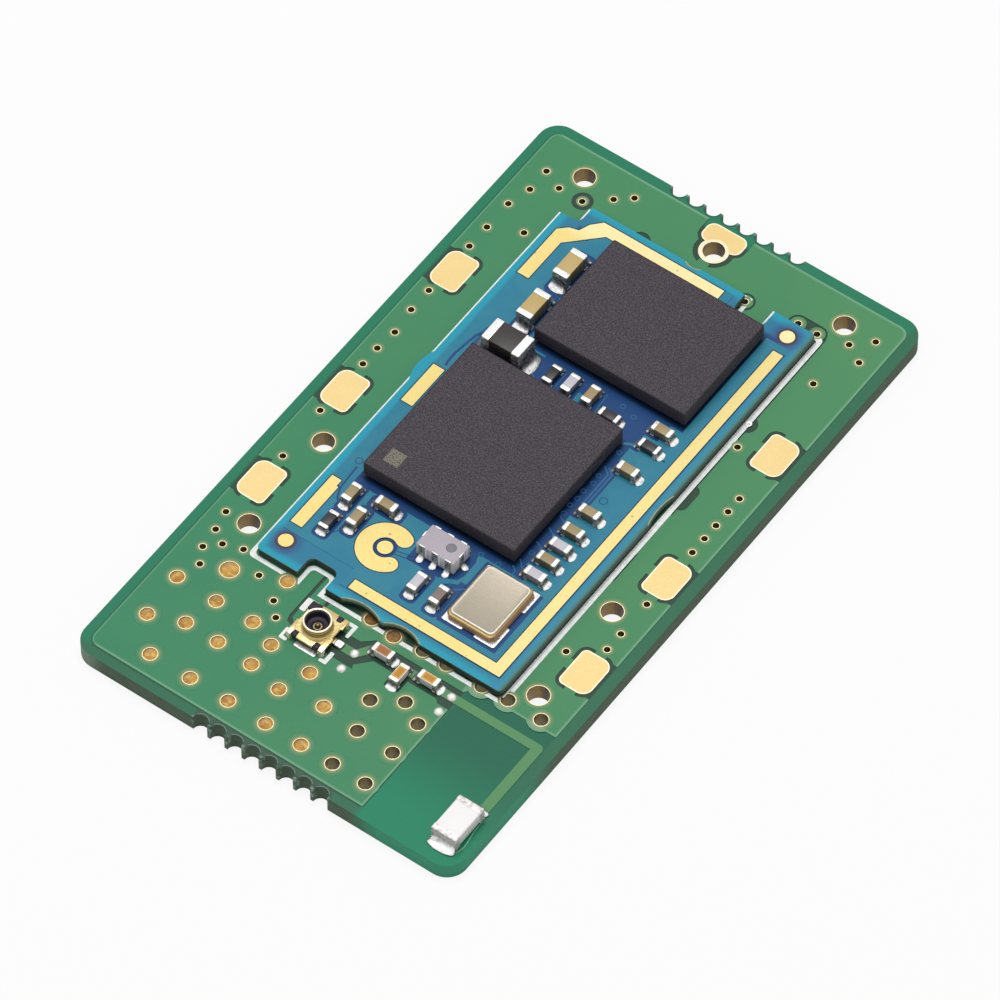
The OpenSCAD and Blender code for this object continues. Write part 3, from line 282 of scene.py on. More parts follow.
# %% [markdown]
# Colours and sockets
#
# A mask mixes two colours, and the finished sums are fed to the shader. Fine relief could be modelled,
# but a Bump node tilts the light without moving the surface, and it adds no face to the mesh.

# %% Mix colours and lay a finish
def ink(code):
    """A colour written as on a screen, in linear light."""
    parts = [int(code[i:i + 2], 16) / 255 for i in (1, 3, 5)]
    return tuple(p / 12.92 if p <= 0.04045 else ((p + 0.055) / 1.055) ** 2.4 for p in parts) + (1.0,)


def blend(share, first, second):
    """Mixes two colours, each a wire or a code as on a screen."""
    first, second = [ink(colour) if isinstance(colour, str) else colour for colour in (first, second)]
    return share.node("ShaderNodeMix", {"data_type": "RGBA"}, {0: share, 6: first, 7: second}, 2)


def lay(finish, sockets, relief=None, depth=0.0):
    """Feeds the shader's sockets, and a bump of the given depth in mm."""
    for name, value in sockets.items():
        finish.place.feed(finish.shader.inputs[name], value)
    if relief is not None:
        bump = relief.node("ShaderNodeBump", {}, {"Strength": 1.0, "Distance": depth * MM, "Height": relief})
        finish.place.feed(finish.shader.inputs["Normal"], bump)
    return finish.material


print("colours can be mixed and laid")

# %% [markdown]
# Green lacquer on the carrier
#
# A circuit board is glass cloth in resin, with a coloured lacquer on both faces. Over bare laminate
# the lacquer looks deep and bluish; over copper it looks lighter and warmer, because the metal throws
# the light back. One flat green would look like plastic, so noise at two scales gives the mottling and
# the orange peel of sprayed lacquer, and one helper serves every lacquer.
# Round the aerial the board has no copper at all, so light comes through and the lacquer is clearer.

# %% Mix the lacquer over bare laminate
AERIAL_FREE = 4.97, -9.40
WORN_RIGHT, WORN_FRONT = (9.35, 9.6), (-16.9, -17.1)
LACQUER_GLOSS, PEEL_DEPTH = 0.2, 0.004


def lacquer_grain(finish):
    """Broad mottling, which gets lighter towards one corner, and the fine orange peel of sprayed lacquer."""
    drift = 0.42 + 0.026 * finish.x + 0.012 * finish.y
    return 0.55 * drift + 0.45 * cloud(finish.place, 0.2, 3.0), cloud(finish.place, 7.0, 1.0)


laminate = start_finish("green_laminate")
mottle, peel = lacquer_grain(laminate)
left_of_aerial = rise(laminate.x, 5.0, 4.8)
keep_out = (rise(laminate.x, AERIAL_FREE[0], AERIAL_FREE[0] + 0.13)
            * rise(laminate.y, AERIAL_FREE[1], AERIAL_FREE[1] - 0.1))
worn = rise(laminate.x, *WORN_RIGHT).most(rise(laminate.y, *WORN_FRONT) * rise(laminate.x, 5.2, 4.8))
face = blend(mottle, "#247c5c", "#277d5f")
face = blend(keep_out * 0.9, face, blend(rise(laminate.y, -16.5, -11.5), "#1a8763", "#1d654d"))
face = blend(worn * rise(laminate.y, -17.6, -9.0).most(left_of_aerial), face, "#336e52")
print("bare lacquer mixed")

# %% [markdown]
# The outline of the ground copper
#
# The copper stops half a millimetre inside the board's edge, and the lacquer steps down there in a dark line.
# A drawn line would have to follow every corner. The distance to an outline with round corners is a short sum
# of the place instead, and its size is the CAD copper's own.

# %% Find the copper's outline
def box_mm(node):
    """Both corners of a CAD node's box, in mm."""
    return [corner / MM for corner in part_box(node)]


def length(x, y):
    """How long a flat arrow is, from how far it goes along x and y."""
    flat = x.node("ShaderNodeCombineXYZ", {}, {0: x, 1: y})
    return x.node("ShaderNodeVectorMath", {"operation": "LENGTH"}, {0: flat}, 1)


POUR_HALF, POUR_CORNER = box_mm("ground_copper")[1].xy, 0.5


def pour_depth(finish):
    """How far in mm a point lies inside the outline of the ground copper, which has round corners."""
    past_x = abs(finish.x) - (POUR_HALF.x - POUR_CORNER)
    past_y = abs(finish.y) - (POUR_HALF.y - POUR_CORNER)
    return POUR_CORNER - length(past_x.most(0.0), past_y.most(0.0)) - past_x.most(past_y).least(0.0)


depth = pour_depth(laminate)
at_step = rise(laminate.x, -9.3, -9.45).most(rise(laminate.y, -16.8, -16.95))
step_shade = rise(depth, -0.13, -0.04) * at_step
face = blend(step_shade * left_of_aerial * 0.5, face, "#1d4f35")
print("copper outline found,", [round(half, 2) for half in POUR_HALF], "mm from the middle")

# %% [markdown]
# The snapped ends
#
# Where the board was snapped out of its panel, each end has a row of round bites. The lacquer beside them
# is bruised. At the very end it is pale, partly from crumbs of glass and partly from a painted highlight on
# the tips between the bites, and at the lower end each bite has a painted highlight along its lip.
# Every bite could have its own mask. A ping-pong of the place folds the row together, so one mask serves all.

# %% Bruise the snapped ends
BOARD_END = box_mm("carrier_board")[1].y
BITE_R, BITE_PITCH, BITES_HALF = 0.37, 0.9, 3.6

to_end = BOARD_END - abs(laminate.y)
across = laminate.x.sum("PINGPONG", laminate.x + BITE_PITCH / 2, BITE_PITCH / 2)
to_bite = length(across, to_end) - BITE_R
bitten = rise(abs(laminate.x), BITES_HALF + 0.1, BITES_HALF - 0.1) * rise(to_end, 0.55, 0.42)
crumbs = cloud(laminate.place, 5.0, 3.0)
bitten_low = bitten * rise(laminate.y, 1.0, -1.0)
bite_lip_highlight = band(to_bite, 0.0, 0.05, 0.02) * rise(to_end, 0.15, 0.3)
face = blend(bitten_low * 0.75, face, blend(crumbs, "#2c4034", "#54695a"))
face = blend(bitten * rise(to_bite, 0.12, 0.04) * 0.7, face, "#2b4437")
# Pale tips: partly crumbs of glass, partly a painted highlight on the tips between the bites.
face = blend(bitten * rise(to_end, 0.17, 0.06) * rise(crumbs, 0.35, 0.6) * 0.8, face, "#86a094")
# Painted highlight along the lip of each bite at the lower end.
face = blend(bitten_low * bite_lip_highlight * 0.6, face, "#8ba398")
print("two rows of bites,", BITE_PITCH, "mm apart")

# %% [markdown]
# Copper on the underside
#
# The ground copper below is too thin to need its own solid, so a mask from the place lays it there.
# On the upper face the CAD copper covers the same area, and there the mask only darkens the gaps cut in it:
# bare laminate, with painted shade in the narrow gaps.

# %% Lay the copper of the underside
GREEN_COPPER, GREEN_COPPER_LIGHT = "#308563", "#5a9460"
TOP_PAD_HALF, TOP_PAD_LOW = 1.21, 16.39

below = rise(laminate.up, -0.4, -0.6)
pour = rise(depth, -0.03, 0.03) * (1 - rise(laminate.x, AERIAL_FREE[0], AERIAL_FREE[0] + 0.06)
                                   * rise(laminate.y, AERIAL_FREE[1], AERIAL_FREE[1] - 0.06))
pad_wide = rise(abs(laminate.x), TOP_PAD_HALF + 0.1, TOP_PAD_HALF)
pad_side = pad_wide * rise(laminate.y, TOP_PAD_LOW, TOP_PAD_LOW + 0.3)
# On the upper face the gaps are bare laminate with painted shade; below, the mask lays copper.
gap_colour = blend(below, "#2f493c", blend(mottle, GREEN_COPPER, GREEN_COPPER_LIGHT))
face = blend(pour * (1 - pad_side * (1 - below)), face, gap_colour)
print("copper laid below")

# %% [markdown]
# The cut edge
#
# The cut edge shows the layers of cloth. It could have its own material slot, but then its faces would have
# to be picked. A mask from the surface's direction tells the edge from the faces by itself,
# and a noise that is squeezed in height draws the layers. Beside the aerial, light comes through
# and greens the edge.

# %% Mix the cut edge and finish the carrier
def upright(finish, full):
    """1 on upright sides and 0 on flat faces; full is the tilt up to which a side counts in full."""
    return rise(abs(finish.up), 0.7, full)


def stretched(place, factors):
    """The place, counted faster along some axes, which squeezes a noise there."""
    return place.node("ShaderNodeVectorMath", {"operation": "MULTIPLY"}, {0: place, 1: factors})


cut = upright(laminate, 0.4)
layers = cloud(stretched(laminate.place, (1.2, 1.2, 11.0)), 1.0, 3.0)
front = rise(laminate.y, -16.0, -17.0)
free_front = rise(laminate.x, 4.3, 6.3) * front
free_wall = free_front.most(rise(laminate.x, 9.0, 9.6) * rise(laminate.y, -9.8, -13.0))
bite_tip_highlights = bitten_low * rise(to_end, 0.25, 0.1) * rise(crumbs, 0.45, 0.65)
cloth = blend(layers, "#354836", "#62735f")
cloth = blend(rise(laminate.z + 0.5 * layers, 0.75, 0.95) * 0.5, cloth, "#3f5c49")
cloth = blend(free_wall * 0.9, cloth, blend(layers, "#2f9370", "#40a37f"))
cloth = blend(rise(laminate.x, -8.2, -9.2) * front * 0.6, cloth, "#8aa08c")
# Painted highlight on the tooth tips of the cut edge, broken up by the crumb noise.
cloth = blend(bite_tip_highlights * 0.7, cloth, "#93aba0")
green_laminate = lay(laminate, {
    "Base Color": blend(cut, face, cloth), "Roughness": 0.34 + 0.06 * peel + 0.3 * cut,
    "Specular IOR Level": LACQUER_GLOSS}, peel + cut * layers * 4, PEEL_DEPTH)
print("green laminate mixed")

# %% [markdown]
# Lacquer over copper, and its halo round the holes
#
# Round each plated hole the lacquer runs thin, and the metal below shines through as a pale ring.
# Along the outer edge of the copper a pale line is painted: partly thin lacquer, partly a painted highlight
# of the copper's step. The upright sides of the step get a painted highlight too.
# A mask for every hole would make a very long sum. Instead, flat rings are laid round the holes later on,
# and their meshes carry a number called halo, 1 at the hole and 0 outside, which this finish reads.
# The CAD copper has no such number and reads 0, so ring and copper meet without a seam.

# %% Mix the lacquer over copper
MODULE_SHADE_X, MODULE_SHADE_HIGH = (-2.8, 6.4), 12.0
THIN_GREEN = "#c2b27c"


def number_from(finish, name):
    """A number that a mesh carries on its vertices; 0 on meshes without it."""
    return finish.place.node("ShaderNodeAttribute", {"attribute_name": name}, output="Fac")


def under_module(finish, low, soft):
    """1 where the module lies close over the carrier and keeps the light off it, from low upwards."""
    return band(finish.x, *MODULE_SHADE_X, 0.05) * band(finish.y, low, MODULE_SHADE_HIGH, soft)


def over_copper(name, deep, light, rim, thin, edge_line=0.0, patchy=0.0):
    """Lacquer over copper: mottled, with a painted highlight on the step of its rim, and paler where the halo
    thins it.
    """
    finish = start_finish(name)
    mottle, peel = lacquer_grain(finish)
    if patchy:
        mottle = (1 - patchy) * mottle + patchy * rise(cloud(finish.place, 1.1, 3.0), 0.3, 0.7)
    colour = blend(mottle, deep, light)
    if edge_line:
        beside_aerial = (rise(AERIAL_FREE[0] - finish.x, 0.14, 0.05) * rise(finish.y, -9.2, -9.5)).most(
            rise(finish.y - AERIAL_FREE[1], 0.14, 0.05) * rise(finish.x, 5.0, 5.3))
        depth = pour_depth(finish)
        line = (rise(depth, 0.15, 0.05) * rise(finish.x, -9.3, -9.0)).most(beside_aerial)
        line = line.most(0.7 * rise(depth, 0.09, 0.03))
        # Pale line along the copper's edge: partly thin lacquer, partly a painted highlight.
        colour = blend(line * edge_line, colour, rim)
        colour = blend(under_module(finish, -9.2, 0.05) * 0.85, colour, "#0d1c15")
    # Painted highlight on the upright sides of the copper's step.
    colour = blend(rise(finish.up, 0.8, 0.3) * 0.8, colour, rim)
    return lay(finish, {"Base Color": blend(number_from(finish, "halo"), colour, thin),
                        "Roughness": 0.33 + 0.08 * peel,
                        "Specular IOR Level": LACQUER_GLOSS}, peel, PEEL_DEPTH)


green_copper = over_copper("green_over_copper", GREEN_COPPER, GREEN_COPPER_LIGHT, "#7dae8b", THIN_GREEN,
                           edge_line=0.75)
green_line = over_copper("green_over_line", "#538d62", "#64985f", "#9cc49a", THIN_GREEN)
print("two lacquers over copper mixed")

# %% [markdown]
# Gold lands
#
# Bare lands are plated with a thin dull gold that looks like cream. On the module they are yellower,
# with small dark pits about a millimetre apart. A full metal would mirror the white sky and lose its colour,
# so the shader is only part metal, under a soft bump that keeps it matte.

# %% Mix the gold of the lands
def land_gold(name, pale, deep, pits):
    finish = start_finish(name)
    grain = cloud(finish.place, 14.0, 2.0)
    broad = cloud(finish.place, 0.6, 2.0)
    pit = (flecks(finish.place, 1.6, 0.12) + 0.4 * flecks(finish.place, 4.5, 0.2)) * pits
    colour = blend(0.6 * broad + 0.4 * grain, pale, deep)
    colour = blend(rise(finish.x, 3.5, 5.0) * pits * 0.25, colour, "#e2d8a4")
    colour = blend(rise(finish.y, 12.2, 13.0) * pits * 0.6, colour, "#f3eaba")
    colour = blend(pit, colour, "#a8894a")
    return lay(finish, {"Base Color": colour, "Metallic": 0.35, "Roughness": 0.38 + 0.2 * grain},
               grain - pit, 0.004)


pad_gold = land_gold("cream_gold", "#e6cd90", "#dcbe7a", 0.0)
land_yellow = land_gold("yellow_gold", "#e8d488", "#dec474", 0.8)
# Pale gold for the test pads' rims: a painted highlight.
pad_highlight_gold = land_gold("pad_highlight_gold", "#f8eed8", "#f0e0bc", 0.0)
print("pad and land gold mixed")

# %% [markdown]
# Plated holes and their filling
#
# A plated hole has a bright rim and a wall that goes brown in its own shade. Most holes round the aerial feed
# are filled with amber resin, which is dished and a little uneven. Rim and wall are one solid,
# so the finish tells them apart by their direction. The filling's mesh carries a number called shade,
# where the rim keeps the lamp off it.

# %% Mix the plating and the filling
def toward(finish, axis):
    """How far the surface looks along one axis, from -1 to 1."""
    return finish.place.node("ShaderNodeSeparateXYZ", {}, {0: finish.facing}, axis)


def plating(name, lit, shaded):
    """Pale gold on a hole's rim; its wall is lit on the left, brown on the far side, and streaked."""
    finish = start_finish(name)
    grain = cloud(finish.place, 9.0, 2.0)
    streaks = cloud(stretched(finish.place, (7.0, 7.0, 0.6)), 1.0, 2.0)
    wall_colour = blend(rise(toward(finish, 0) + 0.5 * streaks, 0.1, 1.1), shaded, lit)
    colour = blend(rise(abs(finish.up), 0.8, 0.4), blend(grain, "#f6eccb", "#e8d6a2"), wall_colour)
    return lay(finish, {"Base Color": colour, "Metallic": 0.5, "Roughness": 0.30 + 0.25 * grain},
               grain, 0.004)


pin_plating = plating("pin_hole_plating", "#9a7e48", "#4a361e")
via_plating = plating("via_plating", "#8f7e4b", "#5c5432")

filling = start_finish("amber_filling")
grain = cloud(filling.place, 4.5, 3.0)
tone = cloud(filling.place, 1.1, 1.0)
colour = blend(rise(tone, 0.35, 0.65), "#b37e2b", "#d09c40")
colour = blend(rise(grain, 0.45, 0.7), colour, "#e4bb66")
colour = blend(rise(cloud(filling.place, 11.0, 3.0), 0.52, 0.66) * 0.45, colour, "#8a5c20")
colour = blend(number_from(filling, "shade") * 0.8, colour, "#5e3f16")
colour = blend(under_module(filling, -9.45, 0.2) * 0.7, colour, "#5a3418")
amber_filling = lay(filling, {"Base Color": colour, "Roughness": 0.24 + 0.25 * grain,
                              "Specular IOR Level": 0.35}, grain, 0.03)
print("two platings and the filling mixed")

# %% [markdown]
# White print and bright solder
#
# The print is a thick matte ink that is thinner in places. Solder is tin that froze while it was still wet:
# a grey mirror with faint clouds. Its steep sides mirror the dark chips and boards round it,
# and its flat foot the white sky. So small a mirror would only sparkle, so the metal is mild, and these
# reflections are painted into the colour, which follows the direction of the surface as well as the clouds.
# Sides that face away from the camera get a painted dark reflection.

# %% Mix the print and the solder
printed = start_finish("white_print")
grain = cloud(printed.place, 6.0, 3.0)
white_print = lay(printed, {"Base Color": blend(rise(grain, 0.3, 0.7), "#eaeeea", "#ffffff"),
                            "Roughness": 0.55 + 0.2 * grain}, grain, 0.006)

joint = start_finish("bright_solder")
grain = cloud(joint.place, 7.0, 3.0)
# Painted dark reflection on joint sides that face away from the camera.
dark_reflection_side = rise(0.6 * toward(joint, 0) - 0.8 * toward(joint, 1), 0.1, -0.25)
# Painted reflections: steep faces dark, flat ones bright as the sky.
steep = blend(rise(grain, 0.38, 0.6), "#565453", "#86847f")
flat = blend(rise(grain, 0.3, 0.5), "#cfcdc9", "#ffffff")
colour = blend(rise(joint.up, 0.35, 0.8), steep, flat)
bright_solder = lay(joint, {"Base Color": blend(dark_reflection_side * 0.9, colour, "#2c2c30"),
                            "Metallic": 0.55 * (1 - dark_reflection_side),
                            "Roughness": 0.16 + 0.22 * grain + 0.3 * dark_reflection_side}, grain, 0.014)

capping = start_finish("tin_plating")
grain = cloud(capping.place, 11.0, 3.0)
stain = flecks(capping.place, 3.6, 0.24) * rise(grain, 0.4, 0.6)
# Painted shade: the caps' upright sides are darker.
side = rise(capping.up, 0.75, 0.35)
colour = blend(grain, "#e2dfd8", "#faf8f4")
colour = blend(side * rise(grain, 0.25, 0.6), colour, "#7c7873")
tin_plating = lay(capping, {"Base Color": blend(stain * 0.65, colour, "#5d5853"),
                            "Metallic": 0.55, "Roughness": 0.30 + 0.25 * grain}, grain, 0.010)
print("print, solder and tin mixed")

# %% [markdown]
# Blue lacquer on the module
#
# The module's lacquer is blue. Light comes in through the thin board near its cut edges, so the margin glows,
# while the middle without copper looks navy. A painted picture could hold that. The distance to the outline,
# worked out from the place, does it without one. Under the large chips lies a deep shade,
# and round the two sighting dots the lacquer turns purple and then brown.

# %% Mix the module's lacquer
MODULE_LOW, MODULE_HIGH = [corner.y for corner in box_mm("module_board")]
MODULE_HALF_X = box_mm("module_board")[1].x
AMONG_CHIPS = (-5.35, 5.35), (-7.75, 13.0)
SIGHTS = (-5.62, -8.12), (5.48, 13.33)


def ring_distance(finish, spot):
    """Distance in mm from an upright line through a spot of the board."""
    return length(finish.x - spot[0], finish.y - spot[1])


blue = start_finish("blue_laminate")
mottle, peel = lacquer_grain(blue)
to_side, to_right = MODULE_HALF_X - abs(blue.x), MODULE_HALF_X - blue.x
to_edge = to_side.least(blue.y - MODULE_LOW).least(MODULE_HIGH - blue.y)
low_corner = rise(blue.x, -2.2, -2.4) * rise(blue.y, -7.1, -7.3)
among_chips = band(blue.x, *AMONG_CHIPS[0], 0.12) * band(blue.y, *AMONG_CHIPS[1], 0.12) * (1 - low_corner)
margin = blend(rise(to_edge, 0.55, 0.15), "#2f7f9e", blend(mottle, "#23a3bd", "#2d9bb0"))
margin = blend(rise(blue.x, 5.4, 6.0) * 0.6, margin, "#3f88a9")
margin = blend(rise(to_right, 0.24, 0.12), margin, "#4a847e")
margin = blend(rise(to_right, 0.10, 0.04), margin, "#47605a")
face = blend(among_chips, margin, blend(mottle, "#1a4278", "#214f86"))
for node in ("radio_chip", "memory_chip"):
    low, high = box_mm(node)
    past_x = (low.x - blue.x).most(blue.x - high.x).most(0.0)
    past_y = (low.y - blue.y).most(blue.y - high.y).most(0.0)
    face = blend(rise(length(past_x, past_y), 0.2, 0.02) * 0.75, face, "#0a1626")
to_sight = ring_distance(blue, SIGHTS[0]).least(ring_distance(blue, SIGHTS[1]))
face = blend(rise(to_sight, 0.95, 0.45) * 0.6, face, "#3b4484")
face = blend(rise(to_sight, 0.52, 0.40) * 0.85, face, "#4a3434")
print("blue faces mixed")

# %% [markdown]
# The module's cut edge, copper and fine lines
#
# The cut edge is almost black, because it stands in the shade over the carrier. Only its upper corner towards
# the front is pale, and the side at the right catches a little light. Copper under the blue lacquer
# is patchy. Thin lines and bare scars are too narrow for a pattern to show, so a little noise
# between two tones will do.

# %% Mix the edge and what lies on the module
THIN_BLUE = "#74b4c6"

cut = upright(blue, 0.4)
in_hollows = band(blue.x, -1.9, 2.2, 0.05) * rise(blue.y, -8.0, -8.5)
pale_corner = rise(blue.z + 0.13 * in_hollows, 1.27, 1.34) * rise(toward(blue, 1), -0.4, -0.8)
wall = blend(pale_corner * 0.7, "#2c3b35", "#9fb08c")
wall = blend(rise(blue.z, 1.1, 1.2) * rise(toward(blue, 0), 0.4, 0.8) * 0.8, wall, "#61776f")
blue_laminate = lay(blue, {"Base Color": blend(cut, face, wall), "Roughness": 0.33 + 0.07 * peel + 0.3 * cut,
                           "Specular IOR Level": LACQUER_GLOSS}, peel, PEEL_DEPTH)
blue_copper = over_copper("blue_over_copper", "#2a7d9c", "#3b8a9e", "#5aa3bd", THIN_BLUE, patchy=0.5)
blue_ring = over_copper("blue_over_ring", "#2b6799", "#3876a4", "#5b96bb", THIN_BLUE)


def thin_line(name, first, second):
    finish = start_finish(name)
    grain = cloud(finish.place, 5.0, 2.0)
    return lay(finish, {"Base Color": blend(grain, first, second), "Roughness": 0.4 + 0.1 * grain,
                        "Specular IOR Level": LACQUER_GLOSS})


blue_gap = thin_line("blue_gap", "#1c4276", "#2a5588")
land_shade = thin_line("land_shade", "#12304a", "#1d4766")

scar = start_finish("bare_laminate")
grain = cloud(scar.place, 6.0, 3.0)
bare_laminate = lay(scar, {"Base Color": blend(grain, "#71846c", "#b9b992"), "Roughness": 0.6 + 0.2 * grain},
                    grain, 0.02)
print("blue lacquers mixed")

# %% [markdown]
# Moulded packages
#
# Both large chips are cast in charcoal epoxy with a fine sandy surface: pale grains of filler in the black.
# The grains are far too many for a mesh, so noise and flecks colour them and a bump raises them.
# The radio chip carries a first-pin mark, a square of laser-burnt grains, drawn by a mask from the place.

# %% Mix the mould compound
FIRST_PIN = (-4.37, -3.61), (-2.84, -2.07)

mould = start_finish("mould_compound")
sand = cloud(mould.place, 15.0, 3.0)
dust = flecks(mould.place, 8.0, 0.3) * rise(cloud(mould.place, 3.0, 2.0), 0.35, 0.65)
broad = cloud(mould.place, 0.4, 2.0)
colour = blend(rise(sand, 0.40, 0.62), "#231e24", "#544e56")
colour = blend(dust * 0.5, colour, "#827d7e")
colour = blend(0.35 * broad, colour, "#3a353b")
burnt = (band(mould.x, *FIRST_PIN[0], 0.03) * band(mould.y, *FIRST_PIN[1], 0.03) * rise(mould.up, 0.6, 0.9)
         * rise(cloud(mould.place, 15.0, 4.0), 0.34, 0.52))
colour = blend(burnt * 0.8, colour, "#8e8a78")
# Painted shade: the upright sides are darker.
colour = blend(upright(mould, 0.3) * 0.35, colour, "#1c191d")
# Painted dark reflection along the upper edge.
colour = blend(number_from(mould, "rim") * 0.6, colour, "#141114")
mould_compound = lay(mould, {"Base Color": colour, "Roughness": 0.55 + 0.2 * sand, "Specular IOR Level": 0.3},
                     sand + 0.5 * dust, 0.012)
print("mould compound mixed")

# %% [markdown]
# Fired ceramics
#
# Capacitors, resistors, coils, the filter and the aerial are all little ceramic bricks: tan, brown, black,
# lilac or white. They differ in colour and gloss, so one helper mixes them all. Its broad cloud gives
# neighbouring bricks slightly different tones, as parts from different reels have.

# %% Mix the ceramics
def ceramic(name, light, dark, rough, side_shade=0.55):
    finish = start_finish(name)
    grain = cloud(finish.place, 16.0, 2.0)
    reel = cloud(finish.place, 0.31, 0.0)
    saw = cloud(stretched(finish.place, (9.0, 9.0, 0.7)), 1.0, 2.0)
    tone = 0.45 * grain + 0.55 * rise(reel, 0.3, 0.7)
    colour = blend(upright(finish, 0.3) * side_shade * (0.5 + saw), blend(tone, light, dark), "#2e2825")
    return lay(finish, {"Base Color": colour, "Roughness": rough + 0.15 * grain}, grain + 0.4 * saw, 0.006)


tan_ceramic = ceramic("tan_ceramic", "#b09c70", "#98855f", 0.38)
supply_ceramic = ceramic("yellow_tan_ceramic", "#d2b878", "#bfa566", 0.38)
brown_ceramic = ceramic("brown_ceramic", "#94807a", "#7d6a64", 0.45)
base_ceramic = ceramic("crystal_ceramic", "#bd926c", "#9a7654", 0.5, 0.0)
bulk_ceramic = ceramic("bulk_ceramic", "#2b2220", "#1d1614", 0.38)
resistor_glaze = ceramic("resistor_glaze", "#292529", "#1b181b", 0.32)
coil_ceramic = ceramic("coil_ceramic", "#d8d3da", "#c8c3cc", 0.4)
white_ceramic = ceramic("white_ceramic", "#fffdfd", "#faf5f5", 0.4, 0.22)
print("eight ceramics mixed")

# %% [markdown]
# The filter's ceramic and the coils' amber windows
#
# The filter is sawn from a sheet, so its sides show upright saw marks, and a grey dot marks its first pin.
# The coils in the aerial's feed are white bricks with an amber window, and a darker core under the glaze.
# The dot is a circle round one place, so a mask draws it. The windows lie on three chips that are turned
# different ways, so there the mesh says where the core is, by a number called core.

# %% Mix the filter's ceramic and the amber
FILTER_DOT, FILTER_DOT_R = (0.68, -4.77), 0.25

sawn = start_finish("lilac_ceramic")
grain = cloud(sawn.place, 12.0, 3.0)
saw = cloud(stretched(sawn.place, (8.0, 8.0, 0.5)), 1.0, 3.0)
side = upright(sawn, 0.3)
to_dot = ring_distance(sawn, FILTER_DOT)
dot = rise(to_dot, FILTER_DOT_R, FILTER_DOT_R - 0.03) * rise(sawn.up, 0.6, 0.9)
dot_line = dot * rise(to_dot, FILTER_DOT_R - 0.055, FILTER_DOT_R - 0.025)
colour = blend(grain, "#bfb5bf", "#aaa2ac")
colour = blend(side, colour, blend(rise(saw, 0.35, 0.62), "#ffffff", "#cfccca"))
colour = blend(dot_line * 0.9, blend(dot * 0.9, colour, "#76717b"), "#504c56")
lilac_ceramic = lay(sawn, {"Base Color": colour, "Roughness": 0.45 + 0.15 * grain},
                    grain + side * saw * 3, 0.008)

window = start_finish("amber_window")
grain = cloud(window.place, 8.0, 2.0)
core = number_from(window, "core")
red = rise(window.x, 1.9, 1.7)
colour = blend(core, blend(grain, "#e6aa1c", "#d49a10"), "#bb800c")
colour = blend(red, colour, blend(core * 0.7 + 0.3 * grain, "#b9742a", "#9c581a"))
amber_window = lay(window, {"Base Color": colour, "Roughness": 0.34 + 0.15 * grain, "Coat Weight": 0.1})
print("filter ceramic and amber mixed")

# %% [markdown]
# Lid and seal of the crystal
#
# The crystal's can is closed by a plated lid, welded on a gold seal ring. The lid's top is a warm, very fine
# satin. An anisotropic shader could give that, but noise that is squeezed one way looks rolled as well,
# and keeps its look in other programs. The polished rim gets a painted highlight, found by a number called
# rim on the mesh, and the side of the seal ring that faces +x is painted darker, as shade.

# %% Mix the lid and the seal
lid = start_finish("lid_metal")
grain = cloud(stretched(lid.place, (3.0, 14.0, 3.0)), 1.0, 3.0)
speck = cloud(lid.place, 18.0, 2.0)
colour = blend(0.5 * grain + 0.5 * speck, "#aba191", "#988e7d")
colour = blend(rise(lid.up, 0.5, 0.2), colour, "#d0a552")
# Painted highlight on the lid's polished rim.
lid_metal = lay(lid, {"Base Color": blend(number_from(lid, "rim") * 0.6, colour, "#f2eee4"),
                      "Metallic": 0.45, "Roughness": 0.28 + 0.2 * speck}, grain + speck, 0.003)

seal = start_finish("gold_ring")
grain = cloud(seal.place, 9.0, 2.0)
ring_foot = box_mm("crystal_seal_ring")[0].z
colour = blend(grain, "#f4d98e", "#dfb966")
# Painted shade on the side of the seal ring that faces +x.
colour = blend(rise(toward(seal, 0), 0.3, 0.7) * 0.75, colour, "#7a5a40")
colour = blend(rise(seal.z, ring_foot + 0.04, ring_foot + 0.025) * 0.7, colour, "#4a3020")
gold_ring = lay(seal, {"Base Color": colour, "Metallic": 0.55, "Roughness": 0.22 + 0.2 * grain}, grain, 0.006)
print("lid and seal mixed")

# %% [markdown]
# Gold and plastic of the connector
#
# The connector is stamped and turned from brass and plated with a pale gold. Painted shade darkens it low on
# the barrel, in the groove and inside the barrel, and a painted highlight brightens its rim. These places
# could be marked on the vertices, but bands of height and the distance from the barrel's axis find them
# without that.

# %% Mix the connector's gold and plastic
shell_low, shell_high = box_mm("connector_shell")
CONNECTOR = (shell_low + shell_high).xy / 2
FOOT_SHADE, GROOVE_SHADE, RIM_SHINE = (1.36, 1.50), (1.655, 1.68), (1.69, 1.73)

plated = start_finish("connector_gold")
grain = cloud(plated.place, 7.0, 3.0)
front_tabs = rise(abs(plated.x - CONNECTOR[0]), 0.7, 0.78) * rise(CONNECTOR[1] - plated.y, 0.62, 0.72)
colour = blend(grain, "#d9c88f", "#bba468")
colour = blend(front_tabs * 0.7, colour, "#e6dcd4")
colour = blend(band(plated.z, *FOOT_SHADE, 0.03) * 0.75, colour, "#74592e")
colour = blend(band(plated.z, *GROOVE_SHADE, 0.01) * 0.8, colour, "#3a2c1a")
# Painted highlight on the rim.
colour = blend(rise(plated.z, *RIM_SHINE) * 0.8, colour, "#fbf2d8")
# Painted shade inside the barrel, over the contact.
colour = blend(rise(ring_distance(plated, CONNECTOR), 0.3, 0.25) * 0.6, colour, "#4a3c22")
connector_gold = lay(plated, {"Base Color": colour, "Metallic": 0.6, "Roughness": 0.2 + 0.25 * grain},
                     grain, 0.008)

moulded = start_finish("black_plastic")
grain = cloud(moulded.place, 10.0, 2.0)
black_plastic = lay(moulded, {"Base Color": blend(grain, "#1a151f", "#352c3e"),
                              "Roughness": 0.35 + 0.2 * grain, "Specular IOR Level": 0.25}, grain, 0.006)
print("connector gold and plastic mixed")

